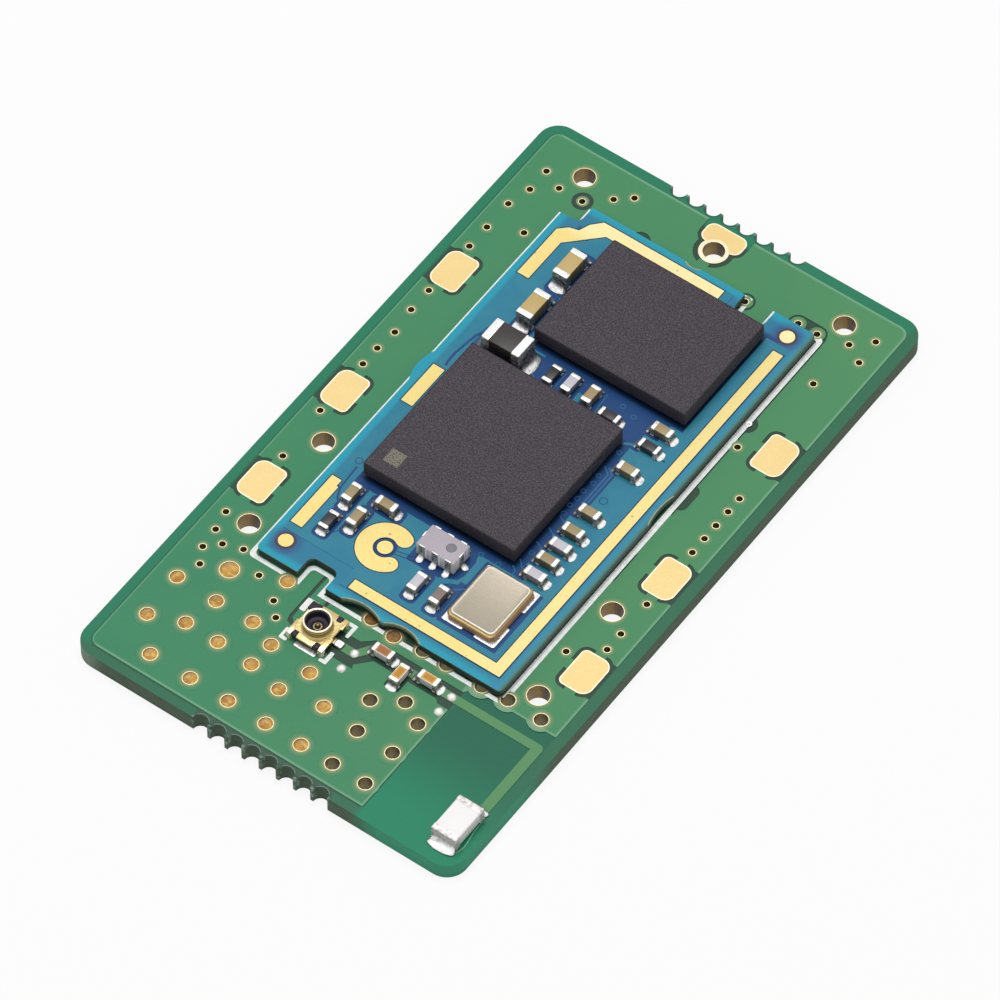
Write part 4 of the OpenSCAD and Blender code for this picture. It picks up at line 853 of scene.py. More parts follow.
# %% [markdown]
# Dress the CAD solids that stay
#
# Boards, copper, lands, holes and print are already right as solids, down to their outlines.
# They only need their finishes, so each gets one material in its first slot.

# %% Hand out the finishes
KEPT = {
    "carrier_board": green_laminate, "ground_copper": green_copper, "antenna_line": green_line,
    "test_pads": pad_gold, "pin_hole_plating": pin_plating, "ground_via_plating": via_plating,
    "signal_via_plating": pin_plating, "white_legend": white_print,
    "spare_pad_solder": tin_plating, "module_board": blue_laminate, "module_copper": blue_copper,
    "shield_lands": land_yellow, "probe_land": land_yellow, "fiducials": land_yellow,
    "module_joints": bright_solder, "radio_chip_balls": bright_solder, "memory_chip_balls": bright_solder,
    "crystal_base": base_ceramic,
}
for node, material in KEPT.items():
    mesh = nodes[node].data
    mesh.materials.clear()
    mesh.materials.append(material)
print(len(KEPT), "solids dressed")

# %% [markdown]
# Tools for new meshes
#
# Every new piece is drawn in millimetres, in the place where it belongs, and scaled once at the end.
# It could be built at the origin and moved, but then its Object coordinates would no longer be places
# on the board, and the finishes need those. One helper gives each piece its finish and its body.

# %% Make a piece from a drawing
def new_piece(name, bm, finish, stands_for=(), sharp=35):
    """Turns a drawing in mm into a piece that rides on the board."""
    bmesh.ops.recalc_face_normals(bm, faces=bm.faces)
    bmesh.ops.scale(bm, vec=(MM, MM, MM), verts=bm.verts)
    mesh = bpy.data.meshes.new(name)
    bm.to_mesh(mesh)
    bm.free()
    mesh.shade_smooth()
    mesh.set_sharp_from_angle(angle=math.radians(sharp))
    mesh.materials.append(finish)
    piece = bpy.data.objects.new(name, mesh)
    bpy.context.collection.objects.link(piece)
    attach(piece, "root")
    if stands_for:
        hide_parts(*stands_for)
    print(name, "has", len(mesh.polygons), "faces")
    return piece


print("pieces can be made")

# %% [markdown]
# Skins through rings
#
# Most pieces here are lofts: a skin through rings of equal length, often rectangles with round corners.
# Modifiers could make the same shapes, but a skin that is drawn point by point can carry numbers
# on its vertices for the finishes to read. Its ends are closed, so it is solid in any other program too.

# %% Skin rings
def add_loft(bm, rings, closed=False):
    """Skins rings of equal length, and closes the ends or joins the last ring to the first."""
    rows = [[bm.verts.new(point) for point in ring] for ring in rings]
    count = len(rows[0])
    for i in range(len(rows) if closed else len(rows) - 1):
        here, there = rows[i], rows[(i + 1) % len(rows)]
        for k in range(count):
            bm.faces.new((here[k], here[(k + 1) % count], there[(k + 1) % count], there[k]))
    if not closed:
        bm.faces.new(rows[0][::-1])
        bm.faces.new(rows[-1])
    return rows


def round_ring(middle, half_x, half_y, corner, z, per_corner=5):
    """A rectangle with round corners, as a ring of points at one height."""
    points = []
    for turn, (sx, sy) in enumerate(((1, 1), (-1, 1), (-1, -1), (1, -1))):
        for i in range(per_corner):
            angle = math.pi / 2 * (turn + i / (per_corner - 1))
            points.append(Vector((middle[0] + sx * (half_x - corner) + corner * math.cos(angle),
                                  middle[1] + sy * (half_y - corner) + corner * math.sin(angle), z)))
    return points


print("rings can be skinned")

# %% [markdown]
# The two large packages
#
# A ball-grid package is a thin laminate with a moulded block on it, sawn out of a panel: straight sides,
# crisp edges, and a hairline where mould and laminate meet. A bevelled cube would lose that line,
# so each package is lofted through rounded rectangles from the bottom to the top.
# The upper edge gets a painted dark reflection, and a number called rim, 1 on the edge and 0 a little way in,
# tells the mould's finish where.

# %% Loft the packages
PACKAGE_CORNER, CORNER_LOSS = 0.09, 0.6
RIM_POINTS = 8
HAIRLINE_AT = 0.26
PACKAGE_LOW = (0.0, 0.03, 0), (0.03, 0.0, 0)
HAIRLINE = (-0.012, 0.0, 0), (-0.006, 0.016, 0), (0.006, 0.016, 0), (0.012, 0.0, 0)
PACKAGE_HIGH = (-0.045, 0.0, 0), (-0.016, 0.010, 1), (0.0, 0.030, 1), (0.0, 0.10, 0)


def stacked(*parts):
    """Levels of height, inset and rim, from parts that are given above different heights."""
    return [(base + up, inset, rim) for base, part in parts for up, inset, rim in part]


def add_rimmed_loft(name, levels, middle, half, corner, finish, node, sharp=35):
    """A piece lofted through levels, each with its height, its inset and its share of the rim."""
    bm = bmesh.new()
    rim_layer = bm.verts.layers.float.new("rim")
    rings = []
    for z, inset, _ in levels:
        round_by = max(PACKAGE_CORNER, corner - inset * CORNER_LOSS)
        rings.append(round_ring(middle, half.x - inset, half.y - inset, round_by, z, RIM_POINTS))
    for row, (_, _, rim) in zip(add_loft(bm, rings), levels):
        for vert in row:
            vert[rim_layer] = rim
    new_piece(name, bm, finish, [node], sharp)


for node in ("radio_chip", "memory_chip"):
    low, high = box_mm(node)
    levels = stacked((low.z, PACKAGE_LOW), (low.z + HAIRLINE_AT, HAIRLINE), (high.z, PACKAGE_HIGH))
    add_rimmed_loft(node + "_package", levels, (low + high) / 2, (high - low) / 2, PACKAGE_CORNER,
                    mould_compound, node)

# %% [markdown]
# Bricks of the small chips
#
# Each small chip is a ceramic brick with soft edges from tumbling. Copies of one model would do for chips
# of one size, but here they differ, so a block is drawn from the CAD box of each body and bevelled.
# The body's name gives the kind. Resistors also carry a raised coat of black glaze on their upper face.
# One table holds each kind's finish and slot, and for later cells the length of its end caps
# and how far its solder runs out and climbs.

# %% Block out the bricks
Kind = namedtuple("Kind", "finish slot cap fillet climb")
KINDS = {
    "bypass_capacitor": Kind(tan_ceramic, "tan_ceramic", 0.20, 0.27, 0.36),
    "supply_capacitor": Kind(supply_ceramic, "tan_ceramic", 0.28, 0.40, 0.58),
    "bulk_capacitor": Kind(bulk_ceramic, "bulk_ceramic", 0.40, 0.48, 0.92),
    "load_capacitor": Kind(brown_ceramic, "brown_ceramic", 0.20, 0.27, 0.36),
    "pullup_resistor": Kind(resistor_glaze, "resistor_glaze", 0.18, 0.24, 0.30),
    "tuning_inductor": Kind(coil_ceramic, "lilac_ceramic", 0.20, 0.27, 0.36),
    "antenna_inductor": Kind(white_ceramic, "white_ceramic", 0.17, 0.27, 0.32),
}
BRICK_ROUND, GLAZE_T, GLAZE_IN = 0.035, 0.03, (0.14, 0.02)


def kind_of(node):
    return next((kind for kind in KINDS if node.startswith(kind)), None)


def add_block(bm, low, high, round_by, steps=2):
    """A block with rounded edges between two corners."""
    low, high = Vector(low), Vector(high)
    verts = bmesh.ops.create_cube(bm, size=1.0)["verts"]
    bmesh.ops.scale(bm, vec=high - low, verts=verts)
    bmesh.ops.translate(bm, vec=(low + high) / 2, verts=verts)
    edges = {edge for vert in verts for edge in vert.link_edges}
    bmesh.ops.bevel(bm, geom=list(edges), offset=round_by, segments=steps, profile=0.5, affect="EDGES")


def ends_and_sides(low, high, ends, sides):
    """An inset for the ends of a chip and for its sides, whichever way it lies."""
    return Vector((ends, sides, 0)) if high.x - low.x > high.y - low.y else Vector((sides, ends, 0))


small_chips = sorted(node for node in nodes if kind_of(node))
coils = [node for node in small_chips if kind_of(node) == "antenna_inductor"]
module_chips = [node for node in small_chips if node not in coils]
for node in small_chips:
    low, high = box_mm(node)
    kind = KINDS[kind_of(node)]
    bm = bmesh.new()
    if kind_of(node) == "pullup_resistor":
        inset, glaze = ends_and_sides(low, high, *GLAZE_IN), Vector((0, 0, GLAZE_T / 2))
        add_block(bm, low, high - glaze, BRICK_ROUND)
        add_block(bm, low + inset, high - inset + glaze, GLAZE_T / 2)
    else:
        add_block(bm, low, high, BRICK_ROUND)
    new_piece(node + "_brick", bm, kind.finish, [node])

# %% [markdown]
# Windows of the aerial's coils
#
# The wound coil shows through a glazed window in the top of each brick. A picture of it would be flat,
# so a thin raised plate with a smaller one on it gives the window and its core,
# and a number on every vertex tells the finish which is which.

# %% Set the windows
WINDOW_IN, CORE_IN, WINDOW_T, WINDOW_SUNK = (0.175, 0.035), (0.25, 0.11), 0.012, 0.02

bm = bmesh.new()
core_layer = bm.verts.layers.float.new("core")
for node in coils:
    low, high = box_mm(node)
    for level, (ends, sides) in enumerate((WINDOW_IN, CORE_IN)):
        before = set(bm.verts)
        inset = ends_and_sides(low, high, ends, sides)
        foot = Vector((low.x, low.y, high.z - WINDOW_SUNK)) + inset
        head = high - inset + Vector((0, 0, WINDOW_T * (level + 1)))
        add_block(bm, foot, head, WINDOW_T / 2, 1)
        for vert in set(bm.verts) - before:
            vert[core_layer] = float(level)
new_piece("antenna_coil_windows", bm, amber_window)

# %% [markdown]
# End caps
#
# The brick's ends are dipped in silver paste and tinned, so a cap is a soft-edged cup with a wavy brim.
# A block would have a straight brim. So each cap is lofted along the chip from the end face inwards,
# and the brim's ring is shifted a little at each point.
# The random numbers are seeded, so that every run draws the same brim.

# %% Loft the caps
CAP_T, CAP_ROUND, CAP_BRIM = 0.02, 0.07, 0.02
dip = random.Random(11)


def chip_ends(low, high):
    """Both ends of a chip: middle of the end face, direction out of it, direction across, half width."""
    middle, half = (low + high) / 2, (high - low) / 2
    along, across = (Vector((1, 0, 0)), Vector((0, 1, 0)))
    if half.y > half.x:
        along, across = across, along
    reach, half_width = max(half.x, half.y), min(half.x, half.y)
    for way in (1, -1):
        yield middle + along * reach * way, along * way, across, half_width


def add_cap(bm, low, high, cap, brim):
    """Caps both ends of a chip, through rings that have a way in, an inset and a share of the wave."""
    half_h = (high.z - low.z) / 2
    lift = Vector((0, 0, 1))
    section = ((0.0, 0.05, 0), (0.012, 0.02, 0), (0.045, 0.0, 0),
               (cap - 0.035, 0.0, 1), (cap, 0.006, 1), (cap - 0.008, 0.028, 1))
    for face, out, across, half_w in chip_ends(low, high):
        shape = round_ring((0, 0), half_w, half_h, CAP_ROUND, 0)
        wave = [dip.uniform(-brim, brim) for _ in shape]
        rings = []
        for way_in, inset, wavy in section:
            wide, tall = 1 - inset / half_w, 1 - inset / half_h
            rings.append([face - out * (way_in + wavy * shift) + across * p.x * wide + lift * p.y * tall
                          for p, shift in zip(shape, wave)])
        add_loft(bm, rings)


grown = Vector((CAP_T, CAP_T, CAP_T))
for board, piece_name, chips in (("module_chip_terminals", "module_end_caps", module_chips),
                                 ("carrier_chip_terminals", "carrier_end_caps", coils)):
    bm = bmesh.new()
    for node in chips:
        low, high = box_mm(node)
        add_cap(bm, low - grown, high + grown, KINDS[kind_of(node)].cap, CAP_BRIM)
    new_piece(piece_name, bm, tin_plating, [board])

# %% [markdown]
# Solder joints
#
# Molten solder climbs an end face and runs out to the edge of its pad. The result is hollow near the chip and
# ends in a round bead. A sculpted joint would have to be fitted to every pad, so each joint is worked out
# as a small height field: lines of points run across the pad, one behind the other away from the chip.
# Small seeded changes keep the joints from looking stamped.

# %% Work out one joint
BED_T, BED_END, SOLDER_THIN = 0.03, -0.01, 0.004
ROWS = (0.0, 0.07, 0.16, 0.27, 0.40, 0.54, 0.68, 0.80, 0.90, 0.97, 1.0)
COLUMNS = (-1.0, -0.9, -0.7, -0.4, 0.0, 0.4, 0.7, 0.9, 1.0)
TIP_FROM, TIP_POWER, TIP_LEAST, BELLY = 0.45, 2.6, 0.01, 0.06
BEAD_FROM, BEAD_SKEW, CLIMB_POWER = 0.25, 1.5, 2.7
CROWN_POWER, CROWN_ROUND = 3.0, 0.6
reflow = random.Random(5)


def share_past(row, start):
    """How far a row lies past a start, from 0 there to 1 at the tip."""
    return max(0.0, (row - start) / (1 - start))


def joint_lines(foot, out, across, half_w, under, reach, climb):
    """Points on top of a joint, in lines: two on the flat bed under the terminal, then on to the tip."""
    climb *= reflow.uniform(0.88, 1.0)
    bead = reach * reflow.uniform(0.13, 0.18)
    lean = reflow.uniform(-0.12, 0.12)
    lines = [[foot + out * way + across * column * half_w + Vector((0, 0, BED_T)) for column in COLUMNS]
             for way in (-under, BED_END)]
    for row in ROWS:
        tip = math.sqrt(max(TIP_LEAST, 1 - share_past(row, TIP_FROM) ** TIP_POWER))
        width = half_w * tip * (1 + BELLY * math.sin(math.pi * row))
        swell = math.sin(math.pi * share_past(row, BEAD_FROM) ** BEAD_SKEW)
        height = BED_T * (1 - row) + climb * (1 - row) ** CLIMB_POWER + bead * swell
        line = []
        for column in COLUMNS:
            crown = (1 - abs(column) ** CROWN_POWER) ** CROWN_ROUND * (1 + lean * column)
            lift = Vector((0, 0, max(SOLDER_THIN, height * crown)))
            line.append(foot + out * row * reach + across * column * width + lift)
        lines.append(line)
    return lines


print("a joint has", len(ROWS) + 2, "lines of", len(COLUMNS), "points")

# %% [markdown]
# Solid solder
#
# Faces between the lines make the skin of a joint, and the flat copy of its grid closes it into a solid.
# Solder that only looks out from under a part needs no hollow: there a flat pool with a rolled edge will do.

# %% Skin joints and pools
def add_joint(bm, foot, out, across, half_w, under, reach, climb):
    """Solder in front of an end face whose foot is given, closed by a flat copy of its grid at the foot."""
    lines = joint_lines(foot, out, across, half_w, under, reach, climb)
    upper = [[bm.verts.new(p) for p in line] for line in lines]
    lower = [[bm.verts.new((p.x, p.y, foot.z)) for p in line] for line in lines]
    last_row, last_column = len(lines) - 1, len(COLUMNS) - 1
    for i in range(last_row):
        for k in range(last_column):
            bm.faces.new((upper[i][k], upper[i + 1][k], upper[i + 1][k + 1], upper[i][k + 1]))
            bm.faces.new((lower[i][k], lower[i][k + 1], lower[i + 1][k + 1], lower[i + 1][k]))
        for k in (0, last_column):
            bm.faces.new((upper[i][k], lower[i][k], lower[i + 1][k], upper[i + 1][k]))
    for k in range(last_column):
        for i in (0, last_row):
            bm.faces.new((upper[i][k], upper[i][k + 1], lower[i][k + 1], lower[i][k]))


def add_pool(bm, middle, half_x, half_y, z, height, corner=0.1):
    """A flat pool of solder with a rolled edge, through levels of a share of its height and an inset."""
    levels = (0.0, 0.0), (0.5, 0.004), (0.85, 0.02), (1.0, 0.05), (1.0, 0.075)
    add_loft(bm, [round_ring(middle, half_x - inset, half_y - inset, max(0.02, corner - inset / 2),
                             z + share * height) for share, inset in levels])


print("joints and pools can be skinned")

# %% [markdown]
# Solder on the module
#
# The same joint serves the small chips and the filter's eight terminals. The crystal sits on four flat pools
# that look out from under its corners.

# %% Solder the module's parts
SPREAD = 0.02
MODULE_TOP, CARRIER_TOP = [box_mm(copper)[1].z for copper in ("module_copper", "ground_copper")]
CRYSTAL_PAD, CRYSTAL_PAD_OUT, CRYSTAL_POOL_T = (0.55, 0.625), 0.14, 0.05
FILTER_PITCH, FILTER_TERMINAL_W, FILTER_UNDER = 0.68, 0.30, 0.2
FILTER_FILLET, FILTER_CLIMB = 0.32, 0.26
SOFT_EDGE = 60


def solder_chip(bm, node):
    low, high = box_mm(node)
    kind = KINDS[kind_of(node)]
    for face, out, across, half_w in chip_ends(low - grown, high + grown):
        foot = Vector((face.x, face.y, low.z - CAP_T - BED_T))
        add_joint(bm, foot, out, across, half_w + SPREAD, kind.cap, kind.fillet, kind.climb)


def filter_ends():
    """Middle of each filter terminal on the outline, and the direction out of it."""
    low, high = box_mm("filter_terminals")
    middle = (low + high) / 2
    for way, end in ((1, high), (-1, low)):
        for i in (-1, 0, 1):
            yield Vector((middle.x + i * FILTER_PITCH, end.y, low.z)), Vector((0, way, 0))
        yield Vector((end.x, middle.y, low.z)), Vector((way, 0, 0))


bm = bmesh.new()
for node in module_chips:
    solder_chip(bm, node)
for face, out in filter_ends():
    foot, across = Vector((face.x, face.y, MODULE_TOP)), Vector((-out.y, out.x, 0))
    add_joint(bm, foot, out, across, FILTER_TERMINAL_W / 2 + SPREAD,
              FILTER_UNDER, FILTER_FILLET, FILTER_CLIMB)
low, high = box_mm("crystal_base")
to_pad = [CRYSTAL_PAD_OUT - half for half in CRYSTAL_PAD]
for x in (low.x - to_pad[0], high.x + to_pad[0]):
    for y in (low.y - to_pad[1], high.y + to_pad[1]):
        add_pool(bm, (x, y), *CRYSTAL_PAD, MODULE_TOP, CRYSTAL_POOL_T)
new_piece("module_solder_joints", bm, bright_solder, ["module_solder"], SOFT_EDGE)

# %% [markdown]
# Solder on the carrier
#
# The carrier has the three coils, the aerial's two wide joints, and pools under the connector's legs,
# side and tail. The aerial's joints are the same height field, only wider. A leg stands on its solder
# instead of facing it, so there a pool with a rolled edge is enough.

# %% Solder the carrier's parts
CONNECTOR_HALF, LEG_HALF = (shell_high - shell_low).xy / 2, 0.13
AERIAL_CAP, AERIAL_FILLET, AERIAL_CLIMB = 0.32, 0.42, 0.28
SIDE_POOL, SIDE_POOL_HALF = (0.1, -1.02), (0.57, 0.16)
TAIL_POOL, TAIL_POOL_HALF, TAIL_POOL_T = (1.15, -0.02), (0.22, 0.2), 0.14


def by_connector(x, y, z=0.0):
    """A point given from the connector's middle."""
    return CONNECTOR[0] + x, CONNECTOR[1] + y, z


def connector_legs():
    """Middle of each of the connector's four legs."""
    for way_x in (1, -1):
        for way_y in (1, -1):
            yield by_connector(way_x * (CONNECTOR_HALF[0] - LEG_HALF), way_y * (CONNECTOR_HALF[1] - LEG_HALF))


bm = bmesh.new()
for node in coils:
    solder_chip(bm, node)
low, high = box_mm("antenna_chip_terminals")
for face, out, across, half_w in chip_ends(low, high):
    foot = Vector((face.x, face.y, CARRIER_TOP))
    add_joint(bm, foot, out, across, half_w, AERIAL_CAP, AERIAL_FILLET, AERIAL_CLIMB)
for leg in connector_legs():
    add_pool(bm, leg, LEG_HALF, LEG_HALF, CARRIER_TOP, BED_T)
add_pool(bm, by_connector(*SIDE_POOL), *SIDE_POOL_HALF, CARRIER_TOP, BED_T)
add_pool(bm, by_connector(*TAIL_POOL), *TAIL_POOL_HALF, CARRIER_TOP, TAIL_POOL_T)
new_piece("carrier_solder_joints", bm, bright_solder, ["carrier_solder"], SOFT_EDGE)

# %% [markdown]
# The crystal's lid
#
# A crystal is a ceramic tray, closed by a thin drawn lid that is welded along its edge. The weld leaves
# a rounded, polished rim round a flat satin middle. A bevelled block has no such rim, so the loft follows
# the lid's section: foot, rounded rim, and a slightly lower flat. The gold seal under it slopes outwards,
# so that it shows below the lid's near edges and not round the far ones.

# %% Loft the seal and the lid
LID_CORNER = 0.26
LID_LOW = (0.0, 0.0, 0), (0.022, 0.0, 0)
LID_HIGH = ((-0.05, 0.008, 0), (-0.024, 0.02, 0.3), (-0.006, 0.045, 1), (0.0, 0.07, 1), (-0.004, 0.10, 0.2),
            (-0.008, 0.12, 0))
SEAL_FOOT_T, SEAL_SLOPE = 0.03, 0.06

low, high = box_mm("crystal_lid")
middle, half = (low + high) / 2, (high - low) / 2
ring_low, ring_high = box_mm("crystal_seal_ring")
ring_half = (ring_high - ring_low) / 2
bm = bmesh.new()
seal_levels = (ring_low.z, 0.0), (ring_low.z + SEAL_FOOT_T, 0.0), (ring_high.z, SEAL_SLOPE)
add_loft(bm, [round_ring(middle, ring_half.x - inset, ring_half.y - inset, LID_CORNER, z, RIM_POINTS)
              for z, inset in seal_levels])
new_piece("crystal_seal_band", bm, gold_ring, ["crystal_seal_ring"], SOFT_EDGE)
add_rimmed_loft("crystal_lid_shell", stacked((low.z, LID_LOW), (high.z, LID_HIGH)), middle, half, LID_CORNER,
                lid_metal, "crystal_lid", SOFT_EDGE)

# %% [markdown]
# The filter
#
# The filter is a sawn ceramic block. Eight printed terminals run up its sides and a little way over the top.
# They could be painted on, but they are thick enough to catch the light. So each terminal is three thin
# rounded plates that wrap the block: below, on the side and above.

# %% Build the filter
FILTER_ROUND, PRINT_T, TOP_WRAP, PRINT_ROUND = 0.03, 0.022, 0.065, 0.009

low, high = box_mm("filter_body")
bm = bmesh.new()
add_block(bm, low, high, FILTER_ROUND)
new_piece("filter_brick", bm, lilac_ceramic, ["filter_body"])

low, high = box_mm("filter_terminals")
bm = bmesh.new()
for face, out in filter_ends():
    across = Vector((abs(out.y), abs(out.x), 0)) * FILTER_TERMINAL_W / 2
    for depth, z0, z1 in ((PRINT_T, low.z, high.z), (TOP_WRAP, high.z - PRINT_T, high.z),
                          (FILTER_UNDER, low.z, low.z + PRINT_T)):
        inner = face - out * depth
        corners = [Vector((p.x, p.y, z)) + side * across
                   for p, z in ((face, z0), (inner, z1)) for side in (-1, 1)]
        add_block(bm, [min(c[i] for c in corners) for i in range(3)],
                  [max(c[i] for c in corners) for i in range(3)], PRINT_ROUND)
new_piece("filter_wraps", bm, tin_plating, ["filter_terminals"])

# %% [markdown]
# The aerial chip
#
# The aerial is a white ceramic brick with a tinned cap on each end. Its edges are rounder than those of
# the small chips, and the tin on its caps is dull and lumpy. So it has its own tin and rounder edges,
# and the same cap helper is used with a deeper brim.

# %% Build the aerial chip
AERIAL_ROUND, AERIAL_BRIM = 0.07, 0.045

dulled = start_finish("dull_tin")
grain = cloud(dulled.place, 6.0, 3.0)
colour = blend(rise(grain, 0.3, 0.6), "#bab4b2", "#f4f0ef")
# Painted shade: the caps' upright sides are darker.
dull_tin = lay(dulled, {"Base Color": blend(rise(dulled.up, 0.75, 0.35) * 0.5, colour, "#9b9590"),
                        "Metallic": 0.2, "Roughness": 0.4 + 0.2 * grain}, grain, 0.02)

low, high = box_mm("antenna_chip")
bm = bmesh.new()
add_block(bm, low, high, AERIAL_ROUND, 3)
new_piece("antenna_chip_brick", bm, white_ceramic, ["antenna_chip"])
bm = bmesh.new()
add_cap(bm, low - grown, high + grown, AERIAL_CAP, AERIAL_BRIM)
new_piece("antenna_end_caps", bm, dull_tin, ["antenna_chip_terminals"])

# %% [markdown]
# The coaxial connector
#
# This is the finest piece on the board: a stamped base plate with slots and hollows, on four legs,
# and a turned barrel with a waist groove that the plug snaps into. Cutting the slots with Booleans would
# leave edges that bevel badly, so the plate is drawn from its outline and bevelled.
# Black plastic stands up through the slots, and takes the place of one corner of the plate.

# %% Outline the base plate
SLOT_W, SLOT_D, SLOT_X = 0.28, 0.34, (-0.57, 0.57)
CUT_CORNER = 0.43, 0.5
HOLLOW_D, HOLLOW_Y = 0.12, (-0.15, 0.45)


def slot_corners(x, y, way):
    """Four corners of a slot cut into the side at height y, walked in the direction way."""
    inner = y - math.copysign(SLOT_D, y)
    first, second = x - way * SLOT_W / 2, x + way * SLOT_W / 2
    return [(first, y), (first, inner), (second, inner), (second, y)]


def plate_outline():
    """The base plate seen from above, from the connector's middle, anticlockwise."""
    half_x, half_y = CONNECTOR_HALF
    bottom = [(-half_x, -half_y)] + slot_corners(SLOT_X[0], -half_y, 1) + slot_corners(SLOT_X[1], -half_y, 1)
    right_side = [(half_x, -half_y), (half_x, HOLLOW_Y[0]), (half_x - HOLLOW_D, HOLLOW_Y[0]),
                  (half_x - HOLLOW_D, HOLLOW_Y[1]), (half_x, HOLLOW_Y[1])]
    top = [(half_x, half_y)] + slot_corners(SLOT_X[1], half_y, -1)
    left_side = [(-CUT_CORNER[0], half_y), (-CUT_CORNER[0], CUT_CORNER[1]), (-half_x, CUT_CORNER[1]),
                 (-half_x, HOLLOW_Y[1]), (HOLLOW_D - half_x, HOLLOW_Y[1]),
                 (HOLLOW_D - half_x, HOLLOW_Y[0]), (-half_x, HOLLOW_Y[0])]
    return bottom + right_side + top + left_side


print("base plate has", len(plate_outline()), "corners")

# %% [markdown]
# The barrel on the lathe
#
# A turned piece is a profile swept round an upright line. The Screw modifier does that too, but a closed loft
# through copies of the profile needs no clean-up where start and end meet.
# The barrel is one closed profile, with a rolled rim that catches the light.

# %% Stamp the base and turn the barrel
CONNECTOR_FOOT, BARREL_TOP = shell_low.z, shell_high.z
PLATE_Z = CONNECTOR_FOOT + 0.26, CONNECTOR_FOOT + 0.36
PLATE_ROUND, LEG_ROUND, LEG_INTO_PLATE = 0.022, 0.03, 0.03
BARREL_LOW = ((0.56, -0.03), (0.72, -0.03), (0.705, 0.012), (0.668, 0.04), (0.65, 0.075), (0.645, 0.105),
              (0.612, 0.135), (0.610, 0.20), (0.612, 0.315), (0.640, 0.345), (0.65, 0.37))
BARREL_HIGH = ((0.65, -0.045), (0.640, -0.018), (0.615, -0.002), (0.590, 0.0), (0.565, -0.010),
               (0.547, -0.04), (0.54, -0.09))
BARREL_STEPS = 56


def unit_circle(count):
    turns = [2 * math.pi * i / count for i in range(count)]
    return [(math.cos(turn), math.sin(turn)) for turn in turns]


def raised(*parts):
    """A profile of radius and height, from parts that are given above different heights."""
    return [(r, base + up) for base, part in parts for r, up in part]


def add_lathe(bm, middle, profile, steps):
    """Turns a closed profile of radius and height round an upright line."""
    rings = [[Vector((middle[0] + r * c, middle[1] + r * s, z)) for r, z in profile]
             for c, s in unit_circle(steps)]
    return add_loft(bm, rings, closed=True)


bm = bmesh.new()
add_loft(bm, [[by_connector(x, y, z) for x, y in plate_outline()] for z in PLATE_Z])
bmesh.ops.bevel(bm, geom=list(bm.edges), offset=PLATE_ROUND, segments=2, profile=0.5, affect="EDGES")
for x, y, _ in connector_legs():
    add_block(bm, (x - LEG_HALF, y - LEG_HALF, CONNECTOR_FOOT),
              (x + LEG_HALF, y + LEG_HALF, PLATE_Z[0] + LEG_INTO_PLATE), LEG_ROUND)
add_lathe(bm, CONNECTOR, raised((PLATE_Z[1], BARREL_LOW), (BARREL_TOP, BARREL_HIGH)), BARREL_STEPS)
new_piece("connector_body", bm, connector_gold, ["connector_shell"])

# %% [markdown]
# The insulator
#
# The insulator is one black moulding: a block under the plate, stubs that fill its slots and its cut corner,
# and a dished neck inside the barrel. The neck is turned. The stubs could be one extruded outline,
# but blocks with very round edges look more like moulded plastic, and they take their places from the slots.

# %% Mould the insulator
UNDER_IN, UNDER_GAP, UNDER_ROUND = 0.02, 0.005, 0.03
STUB_GAP, STUB_ROUND, STUB_LOW, STUB_HIGH = 0.01, 0.07, -0.03, 0.035
NECK_LOW = (0.17, -0.20), (0.535, -0.20)
NECK_RIM = (0.535, -0.10), (0.52, -0.08), (0.49, -0.10)
NECK_DISH = (0.47, 0.05), (0.44, 0.0), (0.33, 0.0), (0.27, -0.03), (0.20, -0.10), (0.17, -0.12)
NECK_STEPS = 40


def plastic_stubs():
    """Two corners of each stub in the plate's three slots and its cut corner, from the connector's middle."""
    half_x, half_y = CONNECTOR_HALF
    half_w = SLOT_W / 2 - STUB_GAP
    inner, outer = half_y - SLOT_D + STUB_GAP, half_y - STUB_GAP
    bottom, top = (-outer, -inner), (inner, outer)
    for x, (y0, y1) in ((SLOT_X[0], bottom), (SLOT_X[1], bottom), (SLOT_X[1], top)):
        yield (x - half_w, y0), (x + half_w, y1)
    yield (-half_x, CUT_CORNER[1] + STUB_GAP), (-CUT_CORNER[0], outer)


bm = bmesh.new()
low, high = box_mm("connector_insulator")
add_block(bm, (low.x + UNDER_IN, low.y + UNDER_IN, low.z),
          (high.x - UNDER_IN, high.y - UNDER_IN, PLATE_Z[0] - UNDER_GAP), UNDER_ROUND)
for first, second in plastic_stubs():
    add_block(bm, by_connector(*first, PLATE_Z[0] + STUB_LOW), by_connector(*second, PLATE_Z[1] + STUB_HIGH),
              STUB_ROUND, 3)
neck = raised((high.z, NECK_LOW), (BARREL_TOP, NECK_RIM), (high.z, NECK_DISH))
add_lathe(bm, CONNECTOR, neck, NECK_STEPS)
new_piece("connector_plastic", bm, black_plastic, ["connector_insulator"])

# %% [markdown]
# The contact
#
# The contact is a small post with a domed end, on a flat tail that meets the feed line.
# A lathe would leave needles of faces at the post's tip, so it is lofted through circles, with a flat end.

# %% Build the contact
POST_FOOT, POST_POINTS = 0.04, 24
POST = (1.0, -0.3), (0.8, -0.22), (0.66, -0.13), (0.5, -0.08), (0.2, -0.06)
TAIL_Y, TAIL_T, TAIL_ROUND = (-0.17, 0.13), 0.08, 0.018

